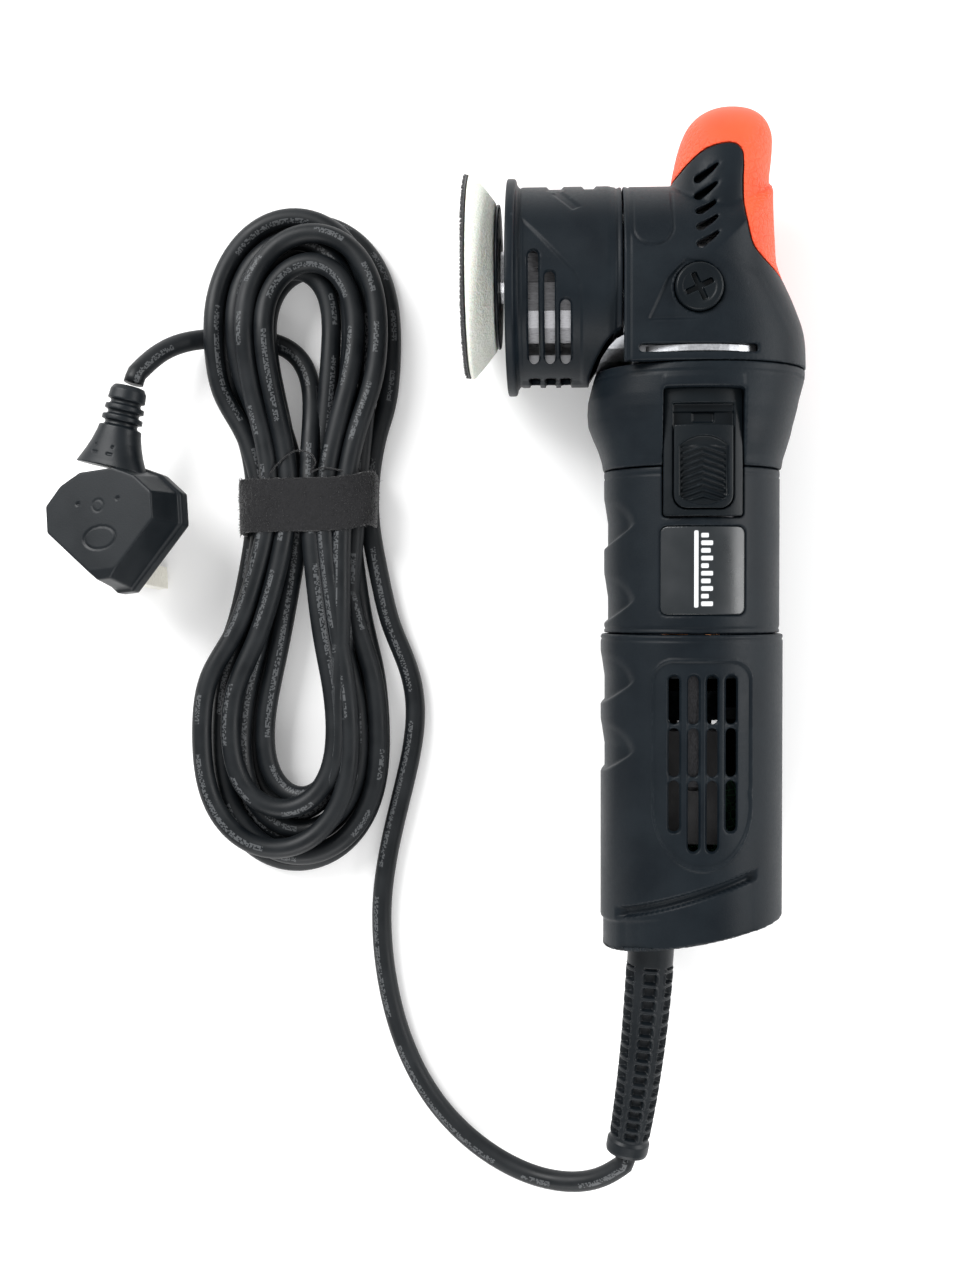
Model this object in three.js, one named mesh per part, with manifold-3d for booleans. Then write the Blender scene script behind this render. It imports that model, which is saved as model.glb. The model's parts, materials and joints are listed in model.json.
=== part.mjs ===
// A compact dual-action polisher that lies on its side, with its mains cord tied in a hank beside it.
// Units are millimetres. The polisher is drawn in its own frame: the motor axis is Y, with the palm
// grip at +Y, the spindle axis is X, with the plate at -X, and the switch side is +Z. Both axes cross
// at its origin. It is then laid on the table, where z = 0, and the cord is drawn in the table's frame.
import * as THREE from 'three';
import { mergeVertices } from 'three/addons/utils/BufferGeometryUtils.js';
import Module from 'manifold-3d';

const wasm = await Module();
wasm.setup();

// Driving dimensions.
const GAP = 0.3; // clearance between pieces that meet
const PITCH = THREE.MathUtils.degToRad(1.5); // the barrel's tail rests lower than the head
const ORBIT_OFFSET = 4; // plate axis from spindle axis, so the plate orbits 8 mm across
const PLATE_RADIUS = 34.7;
const PLATE_BASE_RADIUS = 24.6;
const PLATE_FACE = -77.6; // hook face, along X
const SHROUD_MOUTH = -63.3;
const SHROUD_BACK = -24.5;
const SHROUD_RADIUS = 34;
const SHROUD_RIM_RADIUS = 36.9;
const HEAD_HALF_DEPTH = 35;
const HEAD_WALL = 3.3;
const HEAD_FRONT = 33.5;
const HEAD_END = -30; // the head cover meets the fan housing here, along Y
const FAN_HOUSING_END = -63.5;
const MOTOR_HOUSING_END = -119.2;
const MOTOR_HOUSING_RADIUS = 30.1;
const MOTOR_HOUSING_BORE = 27.8;
const REAR_COVER_RADIUS = 31.3;
const REAR_COVER_BORE = 28.5;
const REAR_END = -222.2; // end face on the motor axis, along Y
const REAR_SLANT = 11.5 / 62; // the end face runs further back on the cord side
const CORD_RADIUS = 3.6;
const CORD_EXIT_X = -13.3;
const SHAFT_RADIUS = 3;
const SPINDLE_RADIUS = 6;
const RING_TEETH = 32;
const PINION_TEETH = 10;
const RING_PITCH_RADIUS = 22;
const BUTTON_TRAVEL = 6.9;
const BUTTON_BACK = -77.9;
const BUTTON_FRONT = -50.7;
const DECK_X = 1.8; // the switch, badge and vents sit this far towards the palm side
const SIDE_SCREW = { x: 0, y: -6.5, radius: 7.8, face: 36.6 };
const SCREW_BORE = 1.9;
const RIB_PITCH = 2.4;
const ROUND = 28; // sides of a large circle
const SMALL_ROUND = 16; // sides of a small circle

const colours = {
  black: { color: 0x14191d, roughness: 0.55, metalness: 0 },
  gloss: { color: 0x0e1114, roughness: 0.3, metalness: 0 },
  orange: { color: 0xfb5a3c, roughness: 0.6, metalness: 0 },
  foam: { color: 0xf2f4ea, roughness: 0.9, metalness: 0 },
  hook: { color: 0x101112, roughness: 0.95, metalness: 0 },
  rubber: { color: 0x121416, roughness: 0.6, metalness: 0 },
  steel: { color: 0xb9bbbd, roughness: 0.3, metalness: 1 },
  cast: { color: 0xc2c4c6, roughness: 0.45, metalness: 1 },
  copper: { color: 0xb06a35, roughness: 0.4, metalness: 1 },
  carbon: { color: 0x2a2a2c, roughness: 0.8, metalness: 0 },
  board: { color: 0x1f5a38, roughness: 0.6, metalness: 0 },
  brass: { color: 0xd6c9a4, roughness: 0.3, metalness: 1 },
};

// ---- Making and joining solids ----

/** Deletes triangles that have collapsed, such as those at a lathe's axis. */
function withoutSlivers(index) {
  const kept = [];
  for (let i = 0; i < index.length; i += 3) {
    const [a, b, c] = [index[i], index[i + 1], index[i + 2]];
    if (a !== b && b !== c && c !== a) kept.push(a, b, c);
  }
  return kept;
}

function signedVolume(position, index) {
  const [a, b, c] = [new THREE.Vector3(), new THREE.Vector3(), new THREE.Vector3()];
  let sum = 0;
  for (let i = 0; i < index.length; i += 3) {
    a.fromBufferAttribute(position, index[i]);
    b.fromBufferAttribute(position, index[i + 1]);
    c.fromBufferAttribute(position, index[i + 2]);
    sum += a.dot(b.cross(c));
  }
  return sum / 6;
}

/** A manifold solid from a closed three.js geometry, turned to face out. */
function solid(geometry) {
  const bare = geometry.clone();
  bare.deleteAttribute('normal');
  bare.deleteAttribute('uv');
  const merged = mergeVertices(bare, 1e-4);
  const index = withoutSlivers(merged.index.array);
  if (signedVolume(merged.attributes.position, index) < 0) index.reverse();
  return new wasm.Manifold(new wasm.Mesh({
    numProp: 3,
    vertProperties: new Float32Array(merged.attributes.position.array),
    triVerts: new Uint32Array(index),
  }));
}

function toGeometry(shape) {
  const mesh = shape.getMesh();
  const geometry = new THREE.BufferGeometry();
  geometry.setAttribute('position', new THREE.BufferAttribute(mesh.vertProperties, 3));
  geometry.setIndex(new THREE.BufferAttribute(mesh.triVerts, 1));
  geometry.computeVertexNormals();
  return geometry;
}

const join = (first, ...others) => others.reduce((sum, other) => sum.add(other), first);
const cut = (first, ...others) => others.reduce((rest, other) => rest.subtract(other), first);

const toAxis = {
  x: new THREE.Matrix4().makeBasis(
    new THREE.Vector3(0, 1, 0), new THREE.Vector3(0, 0, 1), new THREE.Vector3(1, 0, 0)),
  y: new THREE.Matrix4().makeBasis(
    new THREE.Vector3(0, 0, 1), new THREE.Vector3(1, 0, 0), new THREE.Vector3(0, 1, 0)),
  z: new THREE.Matrix4(),
};

/** An outline extruded along an axis. It is drawn in (y, z) for x, (z, x) for y and (x, y) for z. */
function prism(axis, outline, from, to, curveSegments = 4) {
  const shape = Array.isArray(outline) ? new THREE.Shape(points(outline)) : outline;
  const geometry = new THREE.ExtrudeGeometry(shape, { depth: to - from, bevelEnabled: false, curveSegments });
  return solid(geometry.translate(0, 0, from).applyMatrix4(toAxis[axis]));
}

const points = (pairs) => pairs.map(([u, v]) => new THREE.Vector2(u, v));

/** A body turned about an axis, from [radius, place along the axis] pairs; centre is in the axis's plane. */
function turned(axis, pairs, sides = ROUND, centre = [0, 0]) {
  const onAxis = pairs[0][0] === 0 && pairs.at(-1)[0] === 0;
  const outline = onAxis ? pairs : [...pairs, pairs[0]];
  const geometry = new THREE.LatheGeometry(points(outline), sides);
  geometry.rotateX(Math.PI / 2).translate(centre[0], centre[1], 0);
  return solid(geometry.applyMatrix4(toAxis[axis]));
}

const rod = (axis, radius, from, to, sides, centre) =>
  turned(axis, [[0, from], [radius, from], [radius, to], [0, to]], sides, centre);

const ring = (axis, inner, outer, from, to, sides, centre) =>
  turned(axis, [[inner, from], [outer, from], [outer, to], [inner, to]], sides, centre);

function block(x0, x1, y0, y1, z0, z1) {
  const geometry = new THREE.BoxGeometry(x1 - x0, y1 - y0, z1 - z0);
  return solid(geometry.translate((x0 + x1) / 2, (y0 + y1) / 2, (z0 + z1) / 2));
}

/** Skins a list of equal rings. Open rings are capped; a closed list joins the last ring to the first. */
function skin(rings, closed = false) {
  const count = rings[0].length;
  const vertices = rings.flat();
  const index = [];
  const links = closed ? rings.length : rings.length - 1;
  for (let i = 0; i < links; i += 1) {
    const next = (i + 1) % rings.length;
    for (let j = 0; j < count; j += 1) {
      const k = (j + 1) % count;
      index.push(i * count + j, i * count + k, next * count + j);
      index.push(i * count + k, next * count + k, next * count + j);
    }
  }
  if (!closed) {
    [0, rings.length - 1].forEach((end) => {
      const middle = vertices.length;
      vertices.push(rings[end].reduce((sum, p) => sum.add(p), new THREE.Vector3()).divideScalar(count));
      for (let j = 0; j < count; j += 1) {
        const pair = [end * count + j, end * count + ((j + 1) % count)];
        index.push(middle, ...(end === 0 ? pair.reverse() : pair));
      }
    });
  }
  const geometry = new THREE.BufferGeometry().setFromPoints(vertices);
  geometry.setIndex(index);
  return solid(geometry);
}

/** A closed curve round the Y axis: half width along X, half depth along Z, more square as power grows. */
function ovalRing(y, centreX, halfWidth, halfDepth, power = 2, sides = ROUND) {
  const soft = (value) => Math.sign(value) * Math.abs(value) ** (2 / power);
  return Array.from({ length: sides }, (_, i) => {
    const angle = (i / sides) * 2 * Math.PI;
    const x = centreX + halfWidth * soft(Math.cos(angle));
    return new THREE.Vector3(x, y, halfDepth * soft(Math.sin(angle)));
  });
}

const ovals = (rows, power) => skin(rows.map((row) => ovalRing(...row, power)));

const tool = new THREE.Group();
const table = new THREE.Group();

function addTo(group, name, shape, look) {
  const mesh = new THREE.Mesh(toGeometry(shape), new THREE.MeshStandardMaterial(colours[look]));
  mesh.name = name;
  group.add(mesh);
}

const add = (name, shape, look) => addTo(tool, name, shape, look);

// ---- Plate, which spins freely on its offset bearing ----

function buildPlate() {
  const centre = [ORBIT_OFFSET, 0];
  const turnedPlate = (pairs, sides = ROUND) => turned('x', pairs, sides, centre);
  const hookBack = PLATE_FACE + 0.9;
  const foamFront = hookBack + GAP;
  const foamBack = -67.3;
  const bossFront = -71;
  const baseBack = -65.9;
  add('hook_disc', ring('x', 7, PLATE_RADIUS, PLATE_FACE, hookBack, ROUND, centre), 'hook');
  add('foam_cushion', turnedPlate([
    [7.3, foamFront], [PLATE_RADIUS, foamFront], [PLATE_RADIUS, foamFront + 1], [PLATE_BASE_RADIUS, foamBack],
    [15.3, foamBack], [15.3, bossFront - GAP], [7.3, bossFront - GAP],
  ]), 'foam');
  add('plate_base', turnedPlate([
    [3.3, bossFront], [15, bossFront], [15, foamBack + GAP], [PLATE_BASE_RADIUS, foamBack + GAP],
    [PLATE_BASE_RADIUS, baseBack], [3.3, baseBack],
  ]), 'black');
  add('orbit_shaft', turnedPlate([
    [0, -60.6], [3.3, -60.6], [3.3, baseBack + GAP], [9, baseBack + GAP], [9, -61.5],
    [5, -61.5], [5, -48.6], [0, -48.6],
  ], SMALL_ROUND), 'steel');
  add('plate_bolt', cut(
    turnedPlate([[0, -75.6], [5.4, -75.6], [5.4, -72.2], [6.6, -71.4], [3, -71.3], [3, -61], [0, -61]], 12),
    rod('x', 2.4, -76, -73.5, 6, centre),
  ), 'steel');
}

// ---- Spindle with its counterweight ----

/** A straight bevel gear whose cone's tip is the origin. The axis points from there to its back. */
function bevelGear(gear) {
  const { teeth, coneAngle, coneLength, faceWidth, toothHeight, gapFirst, bore, back, front, place } = gear;
  const addendum = (0.55 * toothHeight) / coneLength;
  const dedendum = (0.75 * toothHeight) / coneLength;
  const corners = [[-0.28, -dedendum], [-0.1, addendum], [0.1, addendum], [0.28, -dedendum]];
  const around = (distance) => Array.from({ length: teeth * corners.length }, (_, i) => {
    const [shift, lift] = corners[i % corners.length];
    const turn = ((Math.floor(i / corners.length) + shift + (gapFirst ? 0.5 : 0)) / teeth) * 2 * Math.PI;
    return place(distance * Math.cos(coneAngle + lift), distance * Math.sin(coneAngle + lift), turn);
  });
  const plain = (along, radius) => Array.from({ length: teeth * corners.length }, (_, i) => {
    const shift = corners[i % corners.length][0] + (gapFirst ? 0.5 : 0);
    return place(along, radius, ((Math.floor(i / corners.length) + shift) / teeth) * 2 * Math.PI);
  });
  return skin([
    around(coneLength), plain(back.along, back.radius), plain(back.along, bore),
    plain(front, bore), around(coneLength - faceWidth),
  ], true);
}

const ringConeAngle = Math.atan2(RING_TEETH, PINION_TEETH);
const gearSet = {
  coneLength: RING_PITCH_RADIUS / Math.sin(ringConeAngle),
  faceWidth: 6,
  toothHeight: (2 * RING_PITCH_RADIUS) / RING_TEETH,
};

function buildSpindle() {
  add('spindle', turned('x', [
    [0, 17], [4, 17], [4, 8], [SPINDLE_RADIUS, 8], [SPINDLE_RADIUS, -36], [0, -36],
  ], SMALL_ROUND), 'steel');
  add('ring_gear', bevelGear({
    ...gearSet, teeth: RING_TEETH, coneAngle: ringConeAngle, gapFirst: true,
    bore: SPINDLE_RADIUS + GAP, back: { along: 12, radius: 21 }, front: 3.2,
    place: (along, radius, turn) =>
      new THREE.Vector3(-along, -radius * Math.cos(turn), -radius * Math.sin(turn)),
  }), 'steel');
  const pocket = [ORBIT_OFFSET, 0];
  add('counterweight', cut(
    join(
      rod('x', 14.8, -60, -31, ROUND, [3, 0]),
      rod('x', 27.5, -56, -37, ROUND).intersect(block(-57, -36, -28, -3, -28, 28)),
    ),
    rod('x', SPINDLE_RADIUS + GAP, -36 - GAP, -30, SMALL_ROUND),
    rod('x', 11.3, -61, -48, SMALL_ROUND, pocket),
  ), 'steel');
  add('orbit_bearing', ring('x', 5.3, 11, -57.7, -48.3, SMALL_ROUND, pocket), 'steel');
  add('bearing_circlip', ring('x', 9.4, 11, -59.4, -58.2, SMALL_ROUND, pocket), 'steel');
}

// ---- Armature ----

function buildCoolingFan() {
  const bladeCount = 11;
  const blades = Array.from({ length: bladeCount }, (_, i) => {
    const geometry = new THREE.BoxGeometry(15, 9, 1.6).translate(17, -44.5, 0);
    return solid(geometry.rotateY((i / bladeCount) * 2 * Math.PI));
  });
  const wheel = join(
    rod('y', 25, -41.5, -39.5, ROUND),
    rod('y', 10, -51, -40, SMALL_ROUND),
    ...blades,
  );
  return cut(wheel, rod('y', SHAFT_RADIUS + GAP, -52, -39, 12));
}

function buildArmature() {
  const bore = SHAFT_RADIUS + GAP;
  add('armature_shaft', rod('y', SHAFT_RADIUS, -147, -16.5, SMALL_ROUND), 'steel');
  add('bevel_pinion', bevelGear({
    ...gearSet, teeth: PINION_TEETH, coneAngle: Math.PI / 2 - ringConeAngle, gapFirst: false,
    bore, back: { along: 23, radius: 6 }, front: 16.2,
    place: (along, radius, turn) =>
      new THREE.Vector3(-radius * Math.cos(turn), -along, radius * Math.sin(turn)),
  }), 'steel');
  add('cooling_fan', buildCoolingFan(), 'black');
  add('armature_core', ring('y', bore, 17.5, -108, -70, ROUND), 'steel');
  const winding = (near, widest, far, farRadius) =>
    turned('y', [[bore, near], [15, near], [16, widest], [farRadius, far], [bore, far]], ROUND);
  add('winding_front', winding(-69.7, -66, -61, 12), 'copper');
  add('winding_rear', winding(-108.3, -112, -118, 11), 'copper');
  add('commutator', ring('y', bore, 10, -134, -119, ROUND), 'copper');
}

// ---- Gear case and its bearings ----

/** The head's outline seen along the spindle: a round front and straight sides back to the end. */
function headOutline(front, halfDepth, end) {
  const shape = new THREE.Shape();
  shape.moveTo(end, -halfDepth);
  shape.lineTo(0, -halfDepth);
  shape.absellipse(0, 0, front, halfDepth, -Math.PI / 2, Math.PI / 2, false, 0);
  shape.lineTo(end, halfDepth);
  return shape;
}

const CASE_SCREWS = [[19.2, 19.2], [8, -26]]; // [y, z] of the shroud's screws

/** The retainer's foot shows through the shroud's cut corner. Both outlines are [x, y]. */
const RETAINER_FOOT = [
  [-33, -29.9], [-31.2, -26.2], [-28.9, -23.3], [-26.5, -21], [-23.6, -19.7], [-23.6, -29.9],
];
const SHROUD_CORNER = [
  [-38, -60], [-35.2, -31.5], [-33, -27], [-30.1, -22.5], [-27.5, -19.7], [-25, -17.9],
  [-20, -17.5], [-20, -60],
];

function buildGearCase() {
  const screwHoles = CASE_SCREWS.map((place) => rod('x', SCREW_BORE, -22, -10, 12, place));
  add('gear_case', cut(
    join(
      prism('x', headOutline(29.6, 29.6, -29.7), -21, 19, 6).intersect(headRounding(HEAD_WALL + 0.6)),
      block(-19, 19, -26.9, -24.9, -34, 34).intersect(rod('y', 34.2, -30, -20, 64)),
    ),
    rod('x', 24, -13, 8, ROUND),
    rod('x', 24.9, -22, -12.6, ROUND),
    rod('x', 9.8, 7, 14.6, SMALL_ROUND),
    rod('x', 5, 14, 20, SMALL_ROUND),
    rod('y', 11.3, -30, -23.2, SMALL_ROUND),
    rod('y', 9, -24, -8, SMALL_ROUND),
    rod('z', 3.3, -40, 40, 12, [SIDE_SCREW.x, SIDE_SCREW.y]),
    ...screwHoles,
  ), 'cast');
  add('spindle_bearing_upper', ring('x', 4.3, 9.5, 8.3, 14.3, SMALL_ROUND), 'steel');
  add('spindle_bearing_lower', ring('x', SPINDLE_RADIUS + GAP, 14, -20.7, -13, SMALL_ROUND), 'steel');
  const disc = turned('x', [
    [8.3, -24], [29.3, -24], [29.3, -21.3], [24.6, -21.3], [24.6, -12.9], [14.3, -12.9], [14.3, -21],
    [8.3, -21],
  ]);
  const foot = ring('x', 27, 30.4, -34, -23.6, ROUND).intersect(prism('z', RETAINER_FOOT, -40, 40));
  add('bearing_retainer', cut(
    join(disc, foot),
    ...CASE_SCREWS.map((place) => rod('x', SCREW_BORE, -25, -20, 12, place)),
  ), 'cast');
  add('armature_bearing_front', ring('y', SHAFT_RADIUS + GAP, 11, -29.7, -23.5, SMALL_ROUND), 'steel');
}

// ---- Head cover, palm grip and side screws ----

/** The head seen from the switch side. */
function headSilhouette() {
  const shape = new THREE.Shape();
  shape.moveTo(SHROUD_BACK + GAP, HEAD_END);
  shape.lineTo(SHROUD_BACK + GAP, HEAD_FRONT);
  shape.lineTo(-7, HEAD_FRONT);
  shape.splineThru(points([
    [-5.2, 37], [-2.6, 46], [0.4, 54.5], [5, 59.3], [11.7, 61.2], [19.7, 60], [25, 55.5], [27.2, 48],
    [26.6, 38], [25.8, 26], [26.6, 13], [28.4, 4], [34.3, -9], [37.7, -19], [38.4, HEAD_END],
  ]));
  return shape;
}

/** The head's sections round Y: flat towards the shroud, well rounded towards the palm side. */
function headRounding(inset = 0) {
  const rows = [[HEAD_END - 1, 38.4], [-19, 37.7], [-9, 34.3], [4, 28.6], [13, 28], [40, 28]];
  const middle = -4;
  const round = (y, halfWidth) => ovalRing(y, middle, halfWidth, HEAD_HALF_DEPTH - inset, 2.6, 48);
  return skin(rows.map(([y, right]) => {
    const palmSide = round(y, right - inset - middle);
    return round(y, 70).map((point, i) => (point.x < middle ? point : palmSide[i]));
  }));
}

/** The nose that carries the palm grip: [y, left, right, half depth], round at the tip. */
const NOSE_ROWS = [
  [8, -10, 27.4, 26], [20, -9, 25.8, 26], [30, -8, 25.8, 26], [36, -7.2, 26, 25.5], [40, -6.4, 26.5, 24.6],
  [44.5, -5.4, 26.9, 22.9], [49.3, -3.9, 27, 20.4], [53, -2.1, 26.1, 17.4], [56, 0.4, 24.4, 13.9],
  [58.3, 3.6, 21.9, 10], [59.8, 7.2, 18.4, 6.2], [60.3, 10, 15.6, 3],
];

/** A line of points moved to its right-hand side, as seen when walking along it. */
function shifted(line, distance) {
  return line.map(([x, y], i) => {
    const [before, after] = [line[Math.max(i - 1, 0)], line[Math.min(i + 1, line.length - 1)]];
    const along = new THREE.Vector2(after[0] - before[0], after[1] - before[1]).normalize();
    return [x + distance * along.y, y - distance * along.x];
  });
}

/** Where the orange overmould covers the head: all outside this line, round the nose and the back. */
function gripRegion(offset) {
  const line = [
    [-12, 33.6], [-6.5, 34.4], [-2.6, 37.4], [2.1, 40.9], [6, 42.4], [10.4, 43.1], [13.4, 42.4], [15.2, 39.9],
    [15.2, 29.6], [15.7, 18.6], [17.1, 11.2], [19.2, 6.8], [25.6, 1.7], [40, -7],
  ];
  const outside = [[60, -7], [60, 80], [-20, 80], [-20, 33.6]];
  return prism('z', [...shifted(line, offset), ...outside], -50, 50);
}

/** Five teardrop vents on each side of the nose, all slanting the same way. */
function noseVents() {
  const count = 5;
  const pitch = 5.9;
  return Array.from({ length: count }, (_, i) => {
    const y = 7.4 + i * pitch;
    return prism('z', [[-0.6, y - 0.8], [1.6, y - 1], [8.9, y + 5.8], [0.8, y + 1.4]], -40, 40);
  });
}

function buildHead() {
  const main = prism('z', headSilhouette(), -50, 50, 2)
    .intersect(prism('x', headOutline(HEAD_FRONT, HEAD_HALF_DEPTH, HEAD_END), -30, 50, 6))
    .intersect(headRounding());
  const nose = ovals(NOSE_ROWS.map(([y, left, right, halfDepth]) =>
    [y, (left + right) / 2, (right - left) / 2, halfDepth]), 2.3);
  const noseRoom = solid(new THREE.SphereGeometry(1, 16, 10).scale(11.5, 24, 20).translate(10, 28, 0));
  const screwSeat = rod('z', SIDE_SCREW.radius + GAP, -50, 50, ROUND, [SIDE_SCREW.x, SIDE_SCREW.y])
    .subtract(block(-20, 20, -20, 20, -33, 33));
  const hollow = cut(
    join(main, nose),
    prism('x', headOutline(30.2, 30.2, HEAD_END - 1), -26, 19.5, 6).intersect(headRounding(HEAD_WALL)),
    noseRoom,
  );
  add('head_cover', cut(
    hollow,
    gripRegion(GAP),
    screwSeat,
    rod('z', 3.4, -40, 40, 12, [SIDE_SCREW.x, SIDE_SCREW.y]),
    block(-19.3, 19.3, -27.2, -24.6, -50, 50),
    ...noseVents(),
  ), 'black');
  add('palm_grip', hollow.intersect(gripRegion(0)), 'orange');
}

function buildSideScrew(name, side) {
  const slot = (angle) => solid(new THREE.BoxGeometry(9.6, 1.7, 2.4)
    .rotateZ(angle).translate(SIDE_SCREW.x, SIDE_SCREW.y, side * SIDE_SCREW.face));
  const place = [SIDE_SCREW.x, SIDE_SCREW.y];
  const tilt = THREE.MathUtils.degToRad(25);
  const seat = 33 + GAP;
  const ends = (near, far) => (side > 0 ? [near, far] : [-far, -near]);
  add(name, cut(
    join(
      rod('z', SIDE_SCREW.radius, ...ends(seat, SIDE_SCREW.face), 24, place),
      rod('z', SHAFT_RADIUS, ...ends(25.5, seat + 1), 12, place),
    ),
    slot(tilt),
    slot(tilt + Math.PI / 2),
  ), 'black');
}

// ---- Shroud round the counterweight ----

function buildShroud() {
  const slotRows = [[-55.6, -52.2, 6.4], [-50.2, -46.8, -0.5], [-45, -41.6, -9.4]];
  const slots = slotRows.flatMap(([x0, x1, front]) => [
    block(x0, x1, -28.5, front, 10, 40),
    block(x0, x1, -40, -20, -9, 9),
  ]);
  add('shroud', cut(
    turned('x', [
      [16, SHROUD_BACK], [33.5, SHROUD_BACK], [33.5, -27], [SHROUD_RADIUS, -29], [SHROUD_RADIUS, -59.5],
      [SHROUD_RIM_RADIUS, -60.3], [SHROUD_RIM_RADIUS, SHROUD_MOUTH], [31.6, SHROUD_MOUTH], [31.2, -27.4],
      [16, -27.4],
    ], 40),
    prism('z', SHROUD_CORNER, -40, 40),
    ...CASE_SCREWS.map((place) => rod('x', SCREW_BORE, -30, -20, 12, place)),
    ...slots,
  ), 'black');
  const screw = [[0, -30], [3.2, -30], [3.2, -27.7], [1.6, -27.7], [1.6, -11], [0, -11]];
  CASE_SCREWS.forEach((place, i) => add(`shroud_screw_${i + 1}`, turned('x', screw, 12, place), 'steel'));
}

// ---- Fan housing, motor housing and what they hold ----

/** Four shallow finger hollows along the plate side of the barrel. */
function fingerHollows(radius) {
  const reach = 36;
  const depth = 0.9;
  return [-83.5, -109, -136, -159.5].map((y) =>
    rod('z', reach, -40, 40, 48, [-radius - reach + depth, y]));
}

/** The channel along the top of the barrel in which the switch link slides. */
const linkRoom = () => block(-4, 4, -140, -50, 24.6, 50);

const switchOpening = () => block(DECK_X - 13.3, DECK_X + 13.3, -80.7, -38.2, 20, 50);

function buildFanHousing() {
  const start = HEAD_END - GAP;
  const outside = ovals([
    [start, 2.6, 35.7, 35], [-40, 0.3, 36, 34.6], [-48, -0.6, 35, 33.5], [-56, 0, 32.3, 32], [-60, 0, 31, 31],
    [FAN_HOUSING_END, 0, 30.4, 30.4],
  ], 2.25);
  const inside = turned('y', [
    [0, start + 1], [29.5, start + 1], [28.6, -45], [MOTOR_HOUSING_BORE, FAN_HOUSING_END - 1],
    [0, FAN_HOUSING_END - 1],
  ]);
  add('fan_housing', cut(outside, inside, switchOpening()), 'black');
  add('baffle_ring', ring('y', 18, 26.6, -60.5, -57.5, ROUND).subtract(linkRoom()), 'black');
}

const BADGE = { halfWidth: 13.85, front: -83.8, back: -112.8 };

function buildMotorHousing() {
  const start = FAN_HOUSING_END - GAP;
  const badgeZone = (inner, outer, grow) => {
    const halfWidth = BADGE.halfWidth + grow;
    const [back, front] = [BADGE.back - grow, BADGE.front + grow];
    const area = block(DECK_X - halfWidth, DECK_X + halfWidth, back, front, 0, 50);
    return ring('y', inner, outer, back, front, 64).intersect(area);
  };
  add('motor_housing', cut(
    ring('y', MOTOR_HOUSING_BORE, MOTOR_HOUSING_RADIUS, MOTOR_HOUSING_END, start, 64),
    switchOpening(),
    badgeZone(29, 50, GAP),
    ...fingerHollows(MOTOR_HOUSING_RADIUS),
  ), 'black');
  add('badge_plate', badgeZone(29.3, MOTOR_HOUSING_RADIUS, 0), 'gloss');
}

function buildStator() {
  const poleGap = block(-40, 40, -120, -60, -9, 9);
  const core = cut(
    ring('y', 18.3, 26.7, -110, -68, 40),
    poleGap.intersect(rod('y', 24, -120, -60, 40)),
    linkRoom(),
  );
  add('stator_core', core, 'steel');
  [['left', -1], ['right', 1]].forEach(([side, way]) => {
    const coil = ring('y', 18.8, 23.6, -114, -64, 40)
      .intersect(block(Math.min(0, way * 30), Math.max(0, way * 30), -120, -60, -8.6, 8.6));
    add(`field_coil_${side}`, coil, 'copper');
  });
  add('brush_carrier', cut(
    join(
      ring('y', 24.3, 27.4, -134, -120.5, 40),
      block(-25.5, -12, -131, -123, -5, 5),
      block(12, 25.5, -131, -123, -5, 5),
    ),
    block(-26, 26, -129.3, -124.7, -3.6, 3.6),
    linkRoom(),
  ), 'black');
  add('carbon_brush_left', block(-21, -10.5, -129, -125, -3.3, 3.3), 'carbon');
  add('carbon_brush_right', block(10.5, 21, -129, -125, -3.3, 3.3), 'carbon');
  add('bearing_bridge', cut(
    join(rod('y', 12.5, -149, -139, SMALL_ROUND), block(-28, 28, -149, -145, -4, 4)),
    rod('y', 9.8, -146.3, -138, SMALL_ROUND),
    rod('y', SHAFT_RADIUS + 1, -150, -140, 12),
  ), 'black');
  add('armature_bearing_rear', ring('y', SHAFT_RADIUS + GAP, 9.5, -146, -140, SMALL_ROUND), 'steel');
}

// ---- Slide switch ----

function buildSwitch() {
  const neckBack = -74;
  const neckFront = -68;
  add('switch_bezel', cut(
    block(DECK_X - 13, DECK_X + 13, -80.4, -38.5, 27, 40).intersect(rod('y', 31.6, -81, -38, 64)),
    block(DECK_X - 10, DECK_X + 10, BUTTON_BACK - GAP, BUTTON_FRONT + BUTTON_TRAVEL + GAP, 28, 40),
    block(-3, 3, neckBack - GAP, neckFront + BUTTON_TRAVEL + GAP, 20, 40),
  ), 'black');
  const ribCount = 8;
  const ribs = Array.from({ length: ribCount }, (_, i) => {
    const y = BUTTON_BACK + 3 + i * RIB_PITCH;
    const chevron = [[-7, y], [0, y + 1.8], [7, y], [7, y + 1.1], [0, y + 2.9], [-7, y + 1.1]];
    return prism('z', chevron.map(([across, along]) => [DECK_X + across, along]), 29.6, 40);
  });
  const scoop = rod('x', 40, DECK_X - 7, DECK_X + 7, 64, [-66, 70.4]);
  const top = rod('y', 32.6, BUTTON_BACK, BUTTON_FRONT, 64);
  const body = block(DECK_X - 9.7, DECK_X + 9.7, BUTTON_BACK, BUTTON_FRONT, 28.3, 40).intersect(top);
  add('slide_button', join(
    cut(body, scoop),
    join(...ribs).intersect(rod('y', 31.7, BUTTON_BACK + 1, BUTTON_FRONT - 1, 64)),
    block(-2.5, 2.5, neckBack, neckFront, 26.7, 29),
  ), 'black');
  add('switch_link', join(
    block(-2.8, 2.8, -170, -66, 25, 26.4),
    block(-2.8, 2.8, -170, -167, 20.5, 25.5),
  ), 'steel');
  add('switch_block', cut(
    block(-10, 10, -190, -152, 4, 20),
    block(-3, 3, -172, -156, 18, 21),
  ), 'carbon');
}

// ---- Rear cover, speed dial, cord clamp ----

/** The half space behind the slanting end face, moved forward by inset. */
function beyondEnd(inset) {
  const edge = (x) => REAR_END + inset + REAR_SLANT * x;
  return prism('z', [[-60, edge(-60)], [-60, -300], [60, -300], [60, edge(60)]], -50, 50);
}

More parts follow.
